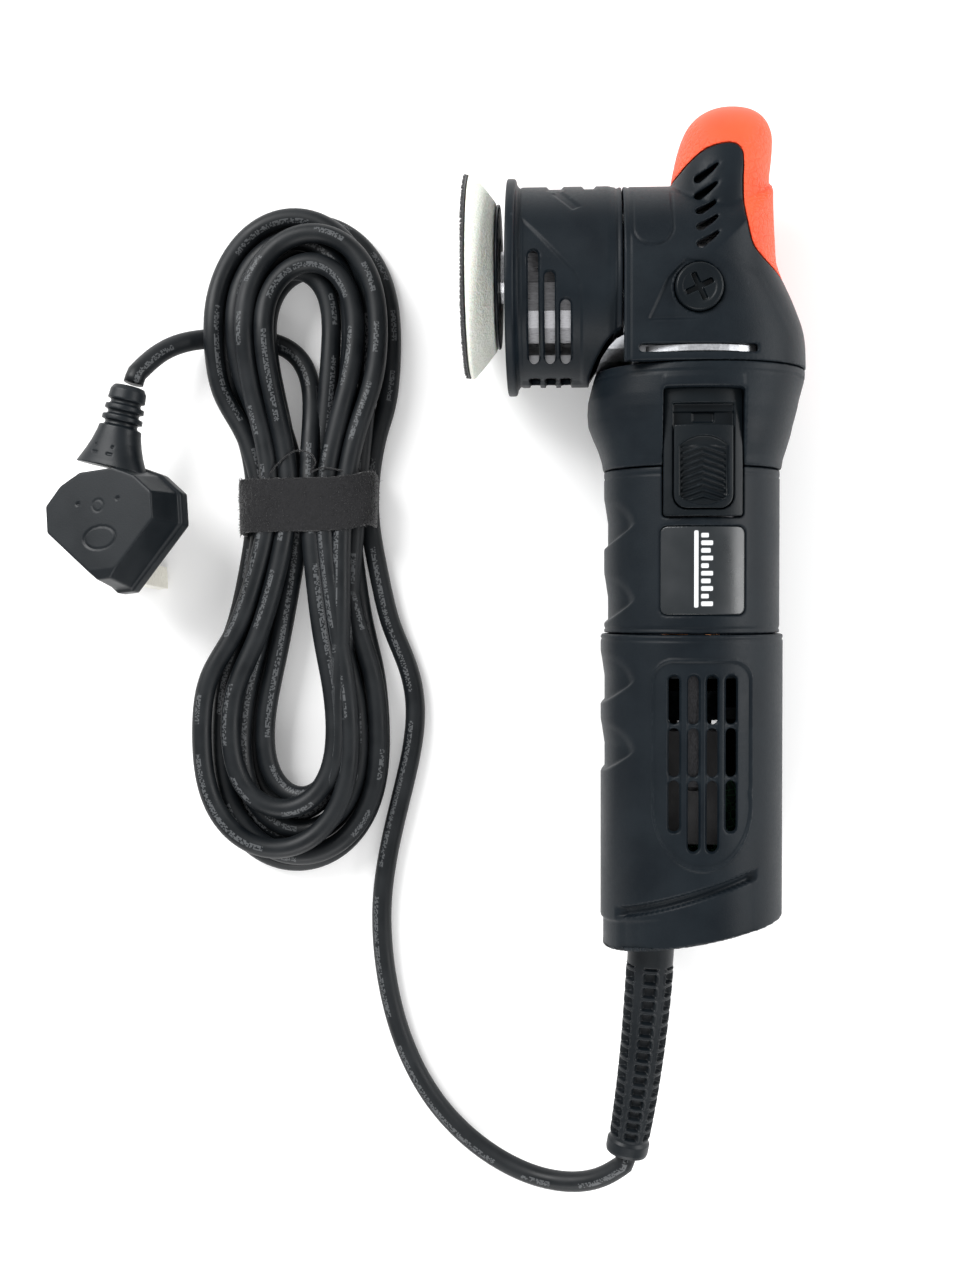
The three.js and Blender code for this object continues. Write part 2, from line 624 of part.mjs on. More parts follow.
const DIAL = { x: 12, y: -210.5, z: -12, radius: 10, halfThickness: 2.5 };

function buildRearCover() {
  const start = MOTOR_HOUSING_END - GAP;
  const ventRows = [[-9.4, -184.5], [-3.1, -191], [3.1, -191], [9.4, -184.5]];
  const vents = ventRows.flatMap(([x, end]) => [
    block(DECK_X + x - 2, DECK_X + x + 2, end, -133, 20, 40),
    block(DECK_X + x - 2, DECK_X + x + 2, end, -133, -40, -20),
  ]);
  add('rear_cover', cut(
    cut(rod('y', REAR_COVER_RADIUS, -240, start, 64), beyondEnd(0)),
    cut(rod('y', REAR_COVER_BORE, -240, start + 1, 48), beyondEnd(3)),
    rod('y', 8.6, -240, -200, SMALL_ROUND, [0, CORD_EXIT_X]),
    block(DIAL.x - 9, DIAL.x + 9, -240, -200, DIAL.z - 3.2, DIAL.z + 3.2),
    ...vents,
    ...fingerHollows(REAR_COVER_RADIUS),
  ), 'black');
  const grip = Array.from({ length: 40 }, (_, i) => {
    const angle = (i / 40) * 2 * Math.PI;
    const radius = i % 2 ? DIAL.radius : DIAL.radius - 0.6;
    return [DIAL.x + radius * Math.cos(angle), DIAL.y + radius * Math.sin(angle)];
  });
  add('speed_dial', prism('z', grip, DIAL.z - DIAL.halfThickness, DIAL.z + DIAL.halfThickness), 'black');
  add('speed_module', block(-19, 19, -212, -172, -18.5, -16.5), 'board');
  add('cord_clamp', cut(
    block(CORD_EXIT_X - 11, CORD_EXIT_X + 11, -213, -206, 0, 8),
    rod('y', CORD_RADIUS + 1, -214, -205, 16, [0, CORD_EXIT_X]),
  ), 'black');
}

// ---- Cord: boot, free run, hank, strap, lead and plug ----

const BOOT = {
  start: new THREE.Vector3(CORD_EXIT_X, -221.2, 0),
  bend: new THREE.Vector3(CORD_EXIT_X - 2, -268, -3),
  end: new THREE.Vector3(-22, -303.5, -7),
};

/** Rings of a round section along a curve, from [share of the curve, radius] pairs. */
function alongCurve(curve, pairs, sides) {
  const across = new THREE.Vector3(0, 0, 1);
  return skin(pairs.map(([share, radius]) => {
    const middle = curve.getPoint(share);
    const side = curve.getTangent(share).cross(across).normalize();
    const up = side.clone().cross(curve.getTangent(share)).normalize();
    return Array.from({ length: sides }, (_, i) => {
      const angle = (i / sides) * 2 * Math.PI;
      const reach = side.clone().multiplyScalar(Math.cos(angle)).addScaledVector(up, Math.sin(angle));
      return middle.clone().addScaledVector(reach, radius);
    });
  }));
}

function buildBoot() {
  const curve = new THREE.QuadraticBezierCurve3(BOOT.start, BOOT.bend, BOOT.end);
  add('cord_boot', alongCurve(curve, [
    [0, 8.1], [0.05, 8.1], [0.3, 7.9], [0.6, 7.4], [0.93, 6.9], [0.94, 7.5], [1, 7.5],
  ], 20), 'rubber');
}

/** A round cord along chosen points. It is stepped every few diameters. */
function cordTube(route, steps) {
  const section = new THREE.Shape();
  section.absarc(0, 0, CORD_RADIUS, 0, 2 * Math.PI);
  const path = new THREE.CatmullRomCurve3(route.map(([x, y, z]) => new THREE.Vector3(x, y, z)));
  return solid(new THREE.ExtrudeGeometry(section, { steps, extrudePath: path, curveSegments: 5 }));
}

const FREE_ROUTE = [
  [-2.5, -220.6, 22], [-3.5, -224.6, 21.4], [-8, -229.9, 19.7], [-15, -232.9, 17], [-26.5, -234.2, 13],
  [-40, -232, 8.8], [-58, -222.5, 5.2], [-73.7, -206.4, 3.8], [-84.7, -184.7, 3.7], [-90.2, -162.6, 3.7],
  [-92.1, -144.2, 3.7], [-91.7, -130, 3.7], [-88.4, -111.1, 3.7], [-83.4, -91, 3.7], [-79.6, -74, 3.7],
  [-78.8, -59.6, 3.7], [-82, -46, 3.7], [-86, -38.5, 3.7], [-89, -34, 3.8],
];
const LEAD_ROUTE = [
  [-178.4, 53.9, 27.6], [-177.4, 57.5, 26.8], [-175.3, 61.5, 24.5], [-171.8, 66.6, 19.5],
  [-166.6, 71.2, 12.6], [-160.6, 73.6, 7.2], [-155.2, 74.3, 4.6],
];
const HANK_OUTLINE = [
  [-120, 120.5], [-97, 109], [-88.2, 80], [-91.5, 45], [-94.5, 12], [-94.5, -22], [-91, -52], [-89.6, -82],
  [-99, -112], [-124, -123.5], [-149, -111], [-158.6, -82], [-151, -40], [-141, 0], [-143, 25], [-150.5, 50],
  [-152.6, 80], [-143, 109],
];
const STRAP = { left: -143, right: -92.5, front: 21.5, back: 1.5, top: 20.6 };

function buildHank() {
  const bottom = 1.5;
  const height = 17.5;
  const outline = new THREE.CatmullRomCurve3(HANK_OUTLINE.map(([x, y]) => new THREE.Vector3(x, y, 0)), true);
  const shape = new THREE.Shape(outline.getPoints(40).slice(0, -1).map((p) => new THREE.Vector2(p.x, p.y)));
  const hank = prism('z', shape, bottom, bottom + height);
  const waist = block(STRAP.left + 1.5, STRAP.right - 1.5, STRAP.back, STRAP.front, bottom, bottom + height);
  const pinch = cut(block(-170, -70, STRAP.back, STRAP.front, -1, 30), waist);
  addTo(table, 'cord_hank', cut(hank, pinch), 'rubber');
  const clearance = block(STRAP.left + 1.2, STRAP.right - 1.2, -30, 50, bottom - GAP, bottom + height + GAP);
  addTo(table, 'hank_strap', cut(
    block(STRAP.left, STRAP.right, STRAP.back + GAP, STRAP.front - GAP, 0, STRAP.top),
    clearance,
  ), 'hook');
}

const PLUG = {
  x: -182.4, y: 8.5, tilt: -5.2, roll: -15, turn: 6, pinLength: 17.7, earthLength: 22.7, bodyHeight: 20,
};
// The neck's sections along Y: [y, middle, half width, half depth].
const NECK_ROWS = [
  [15.3, 0, 13, 8.6], [20, 0, 10.6, 8.2], [27.4, 0, 7.6, 7.4], [29.4, 0, 7.4, 7.2], [29.8, 0, 5.6, 5.6],
  [31, 0, 5.6, 5.6], [31.4, 0, 7.1, 7], [33.2, 0, 7, 7], [33.6, 0, 5.4, 5.4], [34.8, 0, 5.4, 5.4],
  [35.2, 0, 6.8, 6.8], [37, 0, 6.7, 6.7], [37.4, 0, 5.2, 5.2], [38.6, 0, 5.2, 5.2], [39, 0, 6.5, 6.5],
  [42.8, 0, 6.2, 6.2], [44.4, 0, 4.8, 4.8],
];
const NECK_TURN = -18;

/** A moulded three-pin plug. Its frame's origin lies between the two line pins, on the pin face. */
function buildPlug() {
  const plug = new THREE.Group();
  const right = [[3, -30], [24.8, -8.2], [24.8, 3], [17.5, 10.5], [8, 15]];
  const left = right.map(([x, y]) => [-x, y]).reverse();
  const neck = ovals(NECK_ROWS, 2).translate([0, -15, 0]).rotate([0, 0, NECK_TURN]).translate([0, 15, 9.2]);
  addTo(plug, 'plug_body', cut(
    prism('z', [...right, ...left], 0, PLUG.bodyHeight),
    prism('x', [[-40, PLUG.bodyHeight - 5], [-20, PLUG.bodyHeight + 1], [-40, PLUG.bodyHeight + 1]], -30, 30),
  ), 'rubber');
  addTo(plug, 'plug_relief', cut(neck, block(-20, 20, 5, 15.3, -5, 25)), 'rubber');
  const pin = (x, y, width, depth, length) =>
    block(x - width / 2, x + width / 2, y - depth / 2, y + depth / 2, -length, -GAP);
  addTo(plug, 'pin_live', pin(11.1, 0, 4, 6.35, PLUG.pinLength), 'brass');
  addTo(plug, 'pin_neutral', pin(-11.1, 0, 4, 6.35, PLUG.pinLength), 'brass');
  addTo(plug, 'pin_earth', pin(0, -22.2, 4, 8, PLUG.earthLength), 'brass');
  const angles = [PLUG.tilt, PLUG.roll, PLUG.turn].map(THREE.MathUtils.degToRad);
  plug.rotation.set(...angles, 'ZYX');
  plug.position.set(PLUG.x, PLUG.y, 0);
  liftOntoTable(plug);
  table.add(plug);
}

// ---- Laying everything on the table ----

function liftOntoTable(group) {
  group.updateMatrixWorld(true);
  group.position.z -= new THREE.Box3().setFromObject(group, true).min.z;
}

/** Puts the frame's origin under the middle of the polisher. */
function centreOnTable(group) {
  liftOntoTable(group);
  group.updateMatrixWorld(true);
  const middle = new THREE.Box3().setFromObject(group, true).getCenter(new THREE.Vector3());
  group.position.x -= middle.x;
  group.position.y -= middle.y;
}

buildPlate();
buildSpindle();
buildArmature();
buildGearCase();
buildHead();
buildSideScrew('side_screw_left', 1);
buildSideScrew('side_screw_right', -1);
buildShroud();
buildFanHousing();
buildMotorHousing();
buildStator();
buildSwitch();
buildRearCover();
tool.rotation.x = PITCH;
centreOnTable(tool);
buildBoot();
addTo(table, 'cord_free', cordTube(FREE_ROUTE, 26), 'rubber');
addTo(table, 'cord_lead', cordTube(LEAD_ROUTE, 9), 'rubber');
buildHank();
buildPlug();

const polisher = new THREE.Group();
polisher.add(tool, table);
export default polisher;
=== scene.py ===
"""Looks for the compact dual-action polisher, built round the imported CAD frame.

Row frame: metres, +Z up from the table, +Y along the barrel from the cord to the palm grip.
Local frame: millimetres, the motor axis is y, the spindle axis is x and the switch side is z.
"""
import json
import math

import bmesh
import bpy
import numpy as np
from mathutils import Matrix, Vector
from mathutils.kdtree import KDTree


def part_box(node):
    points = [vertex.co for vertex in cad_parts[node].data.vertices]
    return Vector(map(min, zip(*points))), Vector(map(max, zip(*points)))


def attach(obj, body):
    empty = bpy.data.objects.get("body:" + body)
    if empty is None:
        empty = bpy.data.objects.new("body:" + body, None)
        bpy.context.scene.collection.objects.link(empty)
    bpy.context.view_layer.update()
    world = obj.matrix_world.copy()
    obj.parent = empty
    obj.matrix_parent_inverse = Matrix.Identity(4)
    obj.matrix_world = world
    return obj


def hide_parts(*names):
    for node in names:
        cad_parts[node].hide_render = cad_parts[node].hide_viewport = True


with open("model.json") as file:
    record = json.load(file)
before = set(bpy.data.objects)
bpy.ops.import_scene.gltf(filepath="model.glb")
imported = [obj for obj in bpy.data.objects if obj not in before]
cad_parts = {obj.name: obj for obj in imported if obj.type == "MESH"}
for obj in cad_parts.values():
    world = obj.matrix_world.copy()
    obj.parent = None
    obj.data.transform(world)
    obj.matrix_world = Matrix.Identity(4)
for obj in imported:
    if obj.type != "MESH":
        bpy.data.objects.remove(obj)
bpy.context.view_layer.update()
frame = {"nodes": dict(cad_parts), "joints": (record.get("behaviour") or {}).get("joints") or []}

MM = 0.001
RNG = np.random.default_rng(7)
JOINTS = {joint["name"]: joint for joint in frame["joints"]}


# ---- The polisher's own frame ----

def local_frame():
    """The matrix from the polisher's local millimetres to the row frame's metres."""
    barrel = Vector(JOINTS["armature_spin"]["axis"]).normalized()
    spindle = Vector(JOINTS["spindle_spin"]["axis"]).normalized()
    up = spindle.cross(barrel)
    origin = Vector(JOINTS["spindle_spin"]["pos_m"])
    turn = Matrix((spindle, barrel, up)).transposed()
    return Matrix.Translation(origin) @ turn.to_4x4() @ Matrix.Scale(MM, 4)


LAY = local_frame()


# ---- Camera, light and table ----

VIEW_CENTRE = Vector((-0.0557, -0.0387, 0.0))
CAMERA_HEIGHT = 0.600
CAMERA_SIDE = 0.035
SENSOR = 36.0
LENS = 45.4654
TABLE_HALF = 3.0
TABLE_DROP = 0.0002


def look_at(obj, place, target):
    forward = (Vector(target) - Vector(place)).normalized()
    right = forward.cross(Vector((0, 1, 0))).normalized()
    true_up = right.cross(forward)
    turn = Matrix((right, true_up, -forward)).transposed().to_4x4()
    obj.matrix_world = Matrix.Translation(place) @ turn


def add_camera():
    data = bpy.data.cameras.new("camera")
    data.sensor_width = SENSOR
    data.lens = LENS
    data.clip_start = 0.01
    camera = bpy.data.objects.new("camera", data)
    bpy.context.scene.collection.objects.link(camera)
    place = VIEW_CENTRE + Vector((CAMERA_SIDE, 0, CAMERA_HEIGHT))
    look_at(camera, place, VIEW_CENTRE)
    bpy.context.scene.camera = camera


def add_light(name, place, target, size, power):
    data = bpy.data.lights.new(name, "AREA")
    data.shape = "RECTANGLE"
    data.size, data.size_y = size
    data.energy = power
    lamp = bpy.data.objects.new(name, data)
    bpy.context.scene.collection.objects.link(lamp)
    look_at(lamp, place, target)


def add_studio():
    middle = (-0.05, -0.04, 0.03)
    add_light("key", (-0.7, 0.6, 0.75), middle, (0.7, 0.5), 15)
    add_light("fill", (0.95, 0.1, 0.5), middle, (0.4, 0.9), 9)
    add_light("tail", (-0.1, -1.0, 0.55), middle, (0.9, 0.4), 7)
    world = bpy.data.worlds.new("studio")
    world.use_nodes = True
    background = world.node_tree.nodes["Background"]
    background.inputs["Color"].default_value = (1, 1, 1, 1)
    background.inputs["Strength"].default_value = 0.6
    bpy.context.scene.world = world
    bpy.context.scene.view_settings.view_transform = "Standard"


def add_table():
    mesh = bpy.data.meshes.new("table")
    corners = [(x * TABLE_HALF, y * TABLE_HALF, 0) for x, y in ((-1, -1), (1, -1), (1, 1), (-1, 1))]
    mesh.from_pydata(corners, [], [(0, 1, 2, 3)])
    top = bpy.data.objects.new("table", mesh)
    bpy.context.scene.collection.objects.link(top)
    top.location.z = -TABLE_DROP
    paper = bpy.data.materials.new("paper")
    paper.use_nodes = True
    shader = paper.node_tree.nodes["Principled BSDF"]
    shader.inputs["Base Color"].default_value = (0.9, 0.9, 0.9, 1)
    shader.inputs["Roughness"].default_value = 0.7
    shader.inputs["Emission Color"].default_value = (1, 1, 1, 1)
    shader.inputs["Emission Strength"].default_value = 0.16
    mesh.materials.append(paper)


# ---- Materials ----

class Nodes:
    """A short way to write a node tree."""

    def __init__(self, name):
        self.material = bpy.data.materials.new(name)
        self.material.use_nodes = True
        self.tree = self.material.node_tree
        self.shader = self.tree.nodes["Principled BSDF"]
        self.place = self.tree.nodes.new("ShaderNodeTexCoord").outputs["Object"]

    def link(self, output, target):
        self.tree.links.new(output, target)

    def noise(self, scale, detail=3.0, roughness=0.5, vector=None):
        node = self.tree.nodes.new("ShaderNodeTexNoise")
        node.inputs["Scale"].default_value = scale
        node.inputs["Detail"].default_value = detail
        node.inputs["Roughness"].default_value = roughness
        self.link(vector or self.place, node.inputs["Vector"])
        return node.outputs["Fac"]

    def cells(self, scale, feature="F1"):
        node = self.tree.nodes.new("ShaderNodeTexVoronoi")
        node.feature = feature
        node.inputs["Scale"].default_value = scale
        self.link(self.place, node.inputs["Vector"])
        return node.outputs["Distance"]

    def span(self, value, low, high, to_low=0.0, to_high=1.0):
        node = self.tree.nodes.new("ShaderNodeMapRange")
        node.inputs["From Min"].default_value = low
        node.inputs["From Max"].default_value = high
        node.inputs["To Min"].default_value = to_low
        node.inputs["To Max"].default_value = to_high
        self.link(value, node.inputs["Value"])
        return node.outputs["Result"]

    def math(self, kind, a, b):
        node = self.tree.nodes.new("ShaderNodeMath")
        node.operation = kind
        for socket, value in zip(node.inputs, (a, b)):
            if isinstance(value, (int, float)):
                socket.default_value = value
            else:
                self.link(value, socket)
        return node.outputs[0]

    def mix(self, factor, a, b):
        node = self.tree.nodes.new("ShaderNodeMix")
        node.data_type = "RGBA"
        self.link(factor, node.inputs["Factor"])
        for socket, value in ((node.inputs[6], a), (node.inputs[7], b)):
            if isinstance(value, tuple):
                socket.default_value = (*value, 1)
            else:
                self.link(value, socket)
        return node.outputs[2]

    def bump(self, height, strength, distance, normal=None):
        node = self.tree.nodes.new("ShaderNodeBump")
        node.inputs["Strength"].default_value = strength
        node.inputs["Distance"].default_value = distance
        self.link(height, node.inputs["Height"])
        if normal is not None:
            self.link(normal, node.inputs["Normal"])
        return node.outputs["Normal"]

    def pointiness(self):
        return self.tree.nodes.new("ShaderNodeNewGeometry").outputs["Pointiness"]

    def attribute(self, name):
        node = self.tree.nodes.new("ShaderNodeAttribute")
        node.attribute_name = name
        return node.outputs["Fac"]

    def colour(self, value):
        self.link(value, self.shader.inputs["Base Color"])

    def finish(self, roughness, normal=None, **sockets):
        if isinstance(roughness, (int, float)):
            self.shader.inputs["Roughness"].default_value = roughness
        else:
            self.link(roughness, self.shader.inputs["Roughness"])
        if normal is not None:
            self.link(normal, self.shader.inputs["Normal"])
        for name, value in sockets.items():
            self.shader.inputs[name.replace("_", " ")].default_value = value
        return self.material


def moulded_plastic(name, dark, light, grain, roughness, strength=0.35):
    """Spark-textured moulded nylon: fine grain, cloudy gloss and edges rubbed lighter."""
    n = Nodes(name)
    cloud = n.noise(55, 4)
    wear = n.span(n.pointiness(), 0.52, 0.6)
    scuff = n.math("MULTIPLY", wear, n.span(n.noise(420, 3), 0.45, 0.65))
    base = n.mix(n.span(cloud, 0.35, 0.7), dark, light)
    n.colour(n.mix(n.math("MULTIPLY", scuff, 0.5), base, (0.03, 0.036, 0.042)))
    mottle = n.math("MULTIPLY", cloud, 0.6)
    gloss = n.span(n.math("ADD", mottle, n.math("MULTIPLY", n.noise(grain * 0.4), 0.4)),
                   0.3, 0.7, roughness - 0.07, roughness + 0.08)
    normal = n.bump(n.noise(grain, 2, 0.6), strength, 0.00012)
    return n.finish(gloss, normal, Specular_IOR_Level=0.16)


def orange_rubber():
    """Soft overmould: scaly grain towards the front and back, smooth cheeks."""
    n = Nodes("orange_rubber")
    cloud = n.noise(40, 4)
    n.colour(n.mix(n.span(cloud, 0.3, 0.7), (0.9, 0.075, 0.025), (0.97, 0.105, 0.04)))
    scales = n.span(n.cells(430, "DISTANCE_TO_EDGE"), 0.0, 0.22)
    grain = n.math("MULTIPLY", scales, n.attribute("grain"))
    normal = n.bump(grain, 0.9, 0.0003, n.bump(n.noise(2600, 2), 0.25, 0.00008))
    return n.finish(n.span(cloud, 0.3, 0.7, 0.46, 0.6), normal, Specular_IOR_Level=0.25)


def foam():
    n = Nodes("foam")
    pores = n.cells(1500)
    n.colour(n.mix(n.span(pores, 0.15, 0.55), (0.72, 0.75, 0.66), (0.9, 0.92, 0.84)))
    normal = n.bump(pores, 0.5, 0.00025, n.bump(n.noise(160, 4), 0.3, 0.0005))
    return n.finish(0.85, normal, Subsurface_Weight=0.15, Subsurface_Scale=0.002)


def pile(name, colour, light, scale=2600):
    n = Nodes(name)
    fuzz = n.noise(scale, 6, 0.7)
    n.colour(n.mix(n.span(fuzz, 0.4, 0.75), colour, light))
    normal = n.bump(fuzz, 1.0, 0.0005)
    return n.finish(0.95, normal, Sheen_Weight=0.35, Sheen_Roughness=0.4)


def printed_marks(n):
    """Small broken ticks in groups along the cable, with no letters in them."""
    def chance(*steps):
        combine = n.tree.nodes.new("ShaderNodeCombineXYZ")
        for socket, value in zip(combine.inputs, steps):
            n.link(value, socket)
        node = n.tree.nodes.new("ShaderNodeTexWhiteNoise")
        n.link(combine.outputs[0], node.inputs["Vector"])
        return node.outputs["Value"]

    def steps_of(value, size):
        return n.math("FLOOR", n.math("DIVIDE", value, size), 0)

    along, around = n.attribute("along"), n.attribute("around")
    tick = n.math("GREATER_THAN", chance(steps_of(along, 0.00045), steps_of(around, 0.13)), 0.42)
    group = n.math("GREATER_THAN", chance(steps_of(along, 0.011)), 0.35)
    band = n.math("LESS_THAN", n.math("ABSOLUTE", around, 0), 0.26)
    return n.math("MULTIPLY", n.math("MULTIPLY", tick, group), n.math("MULTIPLY", band, 0.8))


def cable_rubber():
    """Dull black cable sheath with a faint broken line of pale marks along it."""
    n = Nodes("cable_rubber")
    cloud = n.noise(90, 4)
    base = n.mix(n.span(cloud, 0.35, 0.7), (0.003, 0.0045, 0.006), (0.008, 0.010, 0.012))
    n.colour(n.mix(printed_marks(n), base, (0.085, 0.09, 0.095)))
    normal = n.bump(n.noise(1300, 3), 0.2, 0.0001)
    return n.finish(n.span(cloud, 0.3, 0.7, 0.4, 0.56), normal, Specular_IOR_Level=0.28)


def soft_rubber(name, dark, light, roughness):
    n = Nodes(name)
    cloud = n.noise(70, 5)
    n.colour(n.mix(n.span(cloud, 0.3, 0.7), dark, light))
    normal = n.bump(n.noise(1900, 3), 0.3, 0.0001)
    gloss = n.span(cloud, 0.3, 0.7, roughness - 0.06, roughness + 0.08)
    return n.finish(gloss, normal, Specular_IOR_Level=0.25)


def metal(name, colour, tone, roughness, grain=900, stretch=(1, 1, 1), depth=0.00005):
    """Metal with machining or casting grain. stretch lengthens the grain along an axis."""
    n = Nodes(name)
    mapping = n.tree.nodes.new("ShaderNodeMapping")
    mapping.inputs["Scale"].default_value = stretch
    n.link(n.place, mapping.inputs["Vector"])
    lines = n.noise(grain, 4, 0.6, mapping.outputs["Vector"])
    n.colour(n.mix(n.span(lines, 0.3, 0.7), colour, tone))
    normal = n.bump(lines, 0.3, depth)
    return n.finish(n.span(lines, 0.3, 0.7, roughness - 0.08, roughness + 0.1), normal, Metallic=1.0)


def circuit_board():
    n = Nodes("circuit_board")
    tracks = n.span(n.cells(420, "DISTANCE_TO_EDGE"), 0.05, 0.09)
    n.colour(n.mix(tracks, (0.05, 0.25, 0.12), (0.012, 0.09, 0.045)))
    return n.finish(0.35, n.bump(tracks, 0.3, 0.0001))


def badge_face():
    """Satin black inlay with a pale printed motif."""
    n = Nodes("badge_face")
    cloud = n.noise(80, 3)
    base = n.mix(n.span(cloud, 0.3, 0.7), (0.007, 0.010, 0.012), (0.012, 0.015, 0.018))
    n.colour(n.mix(n.attribute("motif"), base, (0.8, 0.82, 0.84)))
    return n.finish(n.span(cloud, 0.3, 0.7, 0.24, 0.36), n.bump(n.noise(2600, 2), 0.1, 0.00005))


MATERIALS = {
    "badge": badge_face(),
    "black": moulded_plastic("black_nylon", (0.0028, 0.0055, 0.0085), (0.006, 0.0098, 0.0135), 2300, 0.46),
    "smooth_black": moulded_plastic("satin_black", (0.0022, 0.0042, 0.006), (0.005, 0.0075, 0.0095),
                                    3200, 0.36, 0.15),
    "orange": orange_rubber(),
    "foam": foam(),
    "hook": pile("hook_pile", (0.006, 0.006, 0.007), (0.05, 0.05, 0.055)),
    "strap": pile("strap_pile", (0.002, 0.002, 0.003), (0.013, 0.013, 0.015), 1500),
    "cable": cable_rubber(),
    "rubber": soft_rubber("soft_rubber", (0.003, 0.005, 0.007), (0.007, 0.0095, 0.012), 0.42),
    "steel": metal("turned_steel", (0.5, 0.51, 0.53), (0.72, 0.73, 0.75), 0.28, 700, (6, 1, 1)),
    "bright": metal("bright_steel", (0.42, 0.43, 0.44), (0.6, 0.61, 0.62), 0.24, 500, (1, 5, 1)),
    "weight": metal("milled_weight", (0.13, 0.13, 0.135), (0.22, 0.22, 0.23), 0.34, 500, (1, 5, 1)),
    "dark_steel": metal("blackened_steel", (0.03, 0.03, 0.032), (0.08, 0.08, 0.085), 0.4, 900, (4, 1, 1)),
    "cast": metal("cast_alloy", (0.4, 0.41, 0.43), (0.55, 0.56, 0.58), 0.42, 1400),
    "copper": metal("enamelled_copper", (0.45, 0.17, 0.07), (0.75, 0.36, 0.18), 0.32, 1200, (1, 1, 9)),
    "carbon": soft_rubber("pressed_carbon", (0.02, 0.02, 0.021), (0.05, 0.05, 0.052), 0.6),
    "board": circuit_board(),
    "pin": metal("plated_pin", (0.72, 0.7, 0.62), (0.9, 0.88, 0.8), 0.2, 600, (1, 1, 4)),
}


# ---- Meshes ----

def new_piece(name, mesh, material, body, slot, *replaced):
    """A finished piece: its material, its body, its slot, which is not used, and the CAD nodes it stands for.
    """
    piece = bpy.data.objects.new(name, mesh)
    bpy.context.scene.collection.objects.link(piece)
    mesh.materials.clear()
    mesh.materials.append(MATERIALS[material])
    mesh.polygons.foreach_set("use_smooth", [True] * len(mesh.polygons))
    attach(piece, body)
    if replaced:
        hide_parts(*replaced)
    return piece


def mesh_from(name, vertices, faces):
    mesh = bpy.data.meshes.new(name)
    mesh.from_pydata([tuple(v) for v in vertices], [], faces)
    mesh.update()
    return mesh


def grid_faces(rows, columns, caps=True):
    """Quads between rings of points. Caps close the first and last ring."""
    faces = []
    for i in range(rows - 1):
        for j in range(columns):
            k = (j + 1) % columns
            faces.append((i * columns + j, i * columns + k, (i + 1) * columns + k, (i + 1) * columns + j))
    if caps:
        faces.append(tuple(range(columns - 1, -1, -1)))
        faces.append(tuple((rows - 1) * columns + j for j in range(columns)))
    return faces


def face_out(mesh):
    bm = bmesh.new()
    bm.from_mesh(mesh)
    bmesh.ops.remove_doubles(bm, verts=bm.verts, dist=1e-7)
    bmesh.ops.recalc_face_normals(bm, faces=bm.faces)
    bm.to_mesh(mesh)
    bm.free()
    return mesh


def path_tangent(path):
    tangent = np.gradient(path, axis=0)
    return tangent / np.linalg.norm(tangent, axis=1)[:, None]


def tube_frames(path):
    """Two cross directions along a path, with as little twist as can be."""
    tangent = path_tangent(path)
    side = np.cross(tangent[0], (0, 0, 1.0))
    sides = []
    for t in tangent:
        side = side - t * (side @ t)
        side /= np.linalg.norm(side)
        sides.append(side.copy())
    sides = np.array(sides)
    return sides, np.cross(sides, tangent)


def tube(name, path, reach, sides):
    """A closed tube. reach is its radius, or one for each point and side."""
    across, up = tube_frames(path)
    reach = np.broadcast_to(np.asarray(reach, float), (len(path), sides))
    angle = np.linspace(0, 2 * math.pi, sides, endpoint=False)
    rings = (path[:, None] + reach[..., None]
             * (np.cos(angle)[None, :, None] * across[:, None] + np.sin(angle)[None, :, None] * up[:, None]))
    return face_out(mesh_from(name, rings.reshape(-1, 3), grid_faces(len(path), sides)))


def path_distances(path):
    """How far along the path each of its points lies."""
    return np.concatenate([[0], np.cumsum(np.linalg.norm(np.diff(path, axis=0), axis=1))])


def spline(points, step):
    """Evenly spaced points on a smooth curve through the given ones."""
    p = np.asarray(points, float)
    p = np.vstack([2 * p[0] - p[1], p, 2 * p[-1] - p[-2]])
    fine = []
    for a, b, c, d in zip(p[:-3], p[1:-2], p[2:-1], p[3:]):
        t = np.linspace(0, 1, 24, endpoint=False)[:, None]
        fine.append(0.5 * (2 * b + (c - a) * t + (2 * a - 5 * b + 4 * c - d) * t ** 2
                           + (3 * b - a - 3 * c + d) * t ** 3))
    fine = np.vstack([*fine, p[-2][None]])
    gone = path_distances(fine)
    count = max(2, int(round(gone[-1] / step)) + 1)
    at = np.linspace(0, gone[-1], count)
    return np.stack([np.interp(at, gone, fine[:, k]) for k in range(3)], axis=1)


def path_length(path):
    return float(np.linalg.norm(np.diff(path, axis=0), axis=1).sum())


# ---- Solids in local millimetres: joined, cut, softened and embossed ----

AXIS_ORDER = {"x": (1, 2, 0), "y": (0, 2, 1), "z": (0, 1, 2)}


def prism(axis, outline, low, high):
    """An outline extruded along an axis. It is drawn in (y, z) for x, (x, z) for y and (x, y) for z."""
    first, second, third = AXIS_ORDER[axis]
    points = np.zeros((2, len(outline), 3))
    points[:, :, first], points[:, :, second] = np.array(outline).T
    points[0, :, third], points[1, :, third] = low, high
    return face_out(mesh_from("prism", points.reshape(-1, 3), grid_faces(2, len(outline))))


def turned(axis, pairs, sides=160, centre=(0, 0)):
    """A body turned about an axis from (radius, along) pairs. Off the axis, the profile closes on itself."""
    first, second, third = AXIS_ORDER[axis]
    hollow = pairs[0][0] > 0
    rows = [*pairs, pairs[0]] if hollow else pairs
    angle = np.linspace(0, 2 * math.pi, sides, endpoint=False)
    points = np.zeros((len(rows), sides, 3))
    for ring, (radius, along) in zip(points, rows):
        ring[:, first] = centre[0] + max(radius, 1e-4) * np.cos(angle)
        ring[:, second] = centre[1] + max(radius, 1e-4) * np.sin(angle)
        ring[:, third] = along
    return face_out(mesh_from("turned", points.reshape(-1, 3), grid_faces(len(rows), sides, caps=not hollow)))


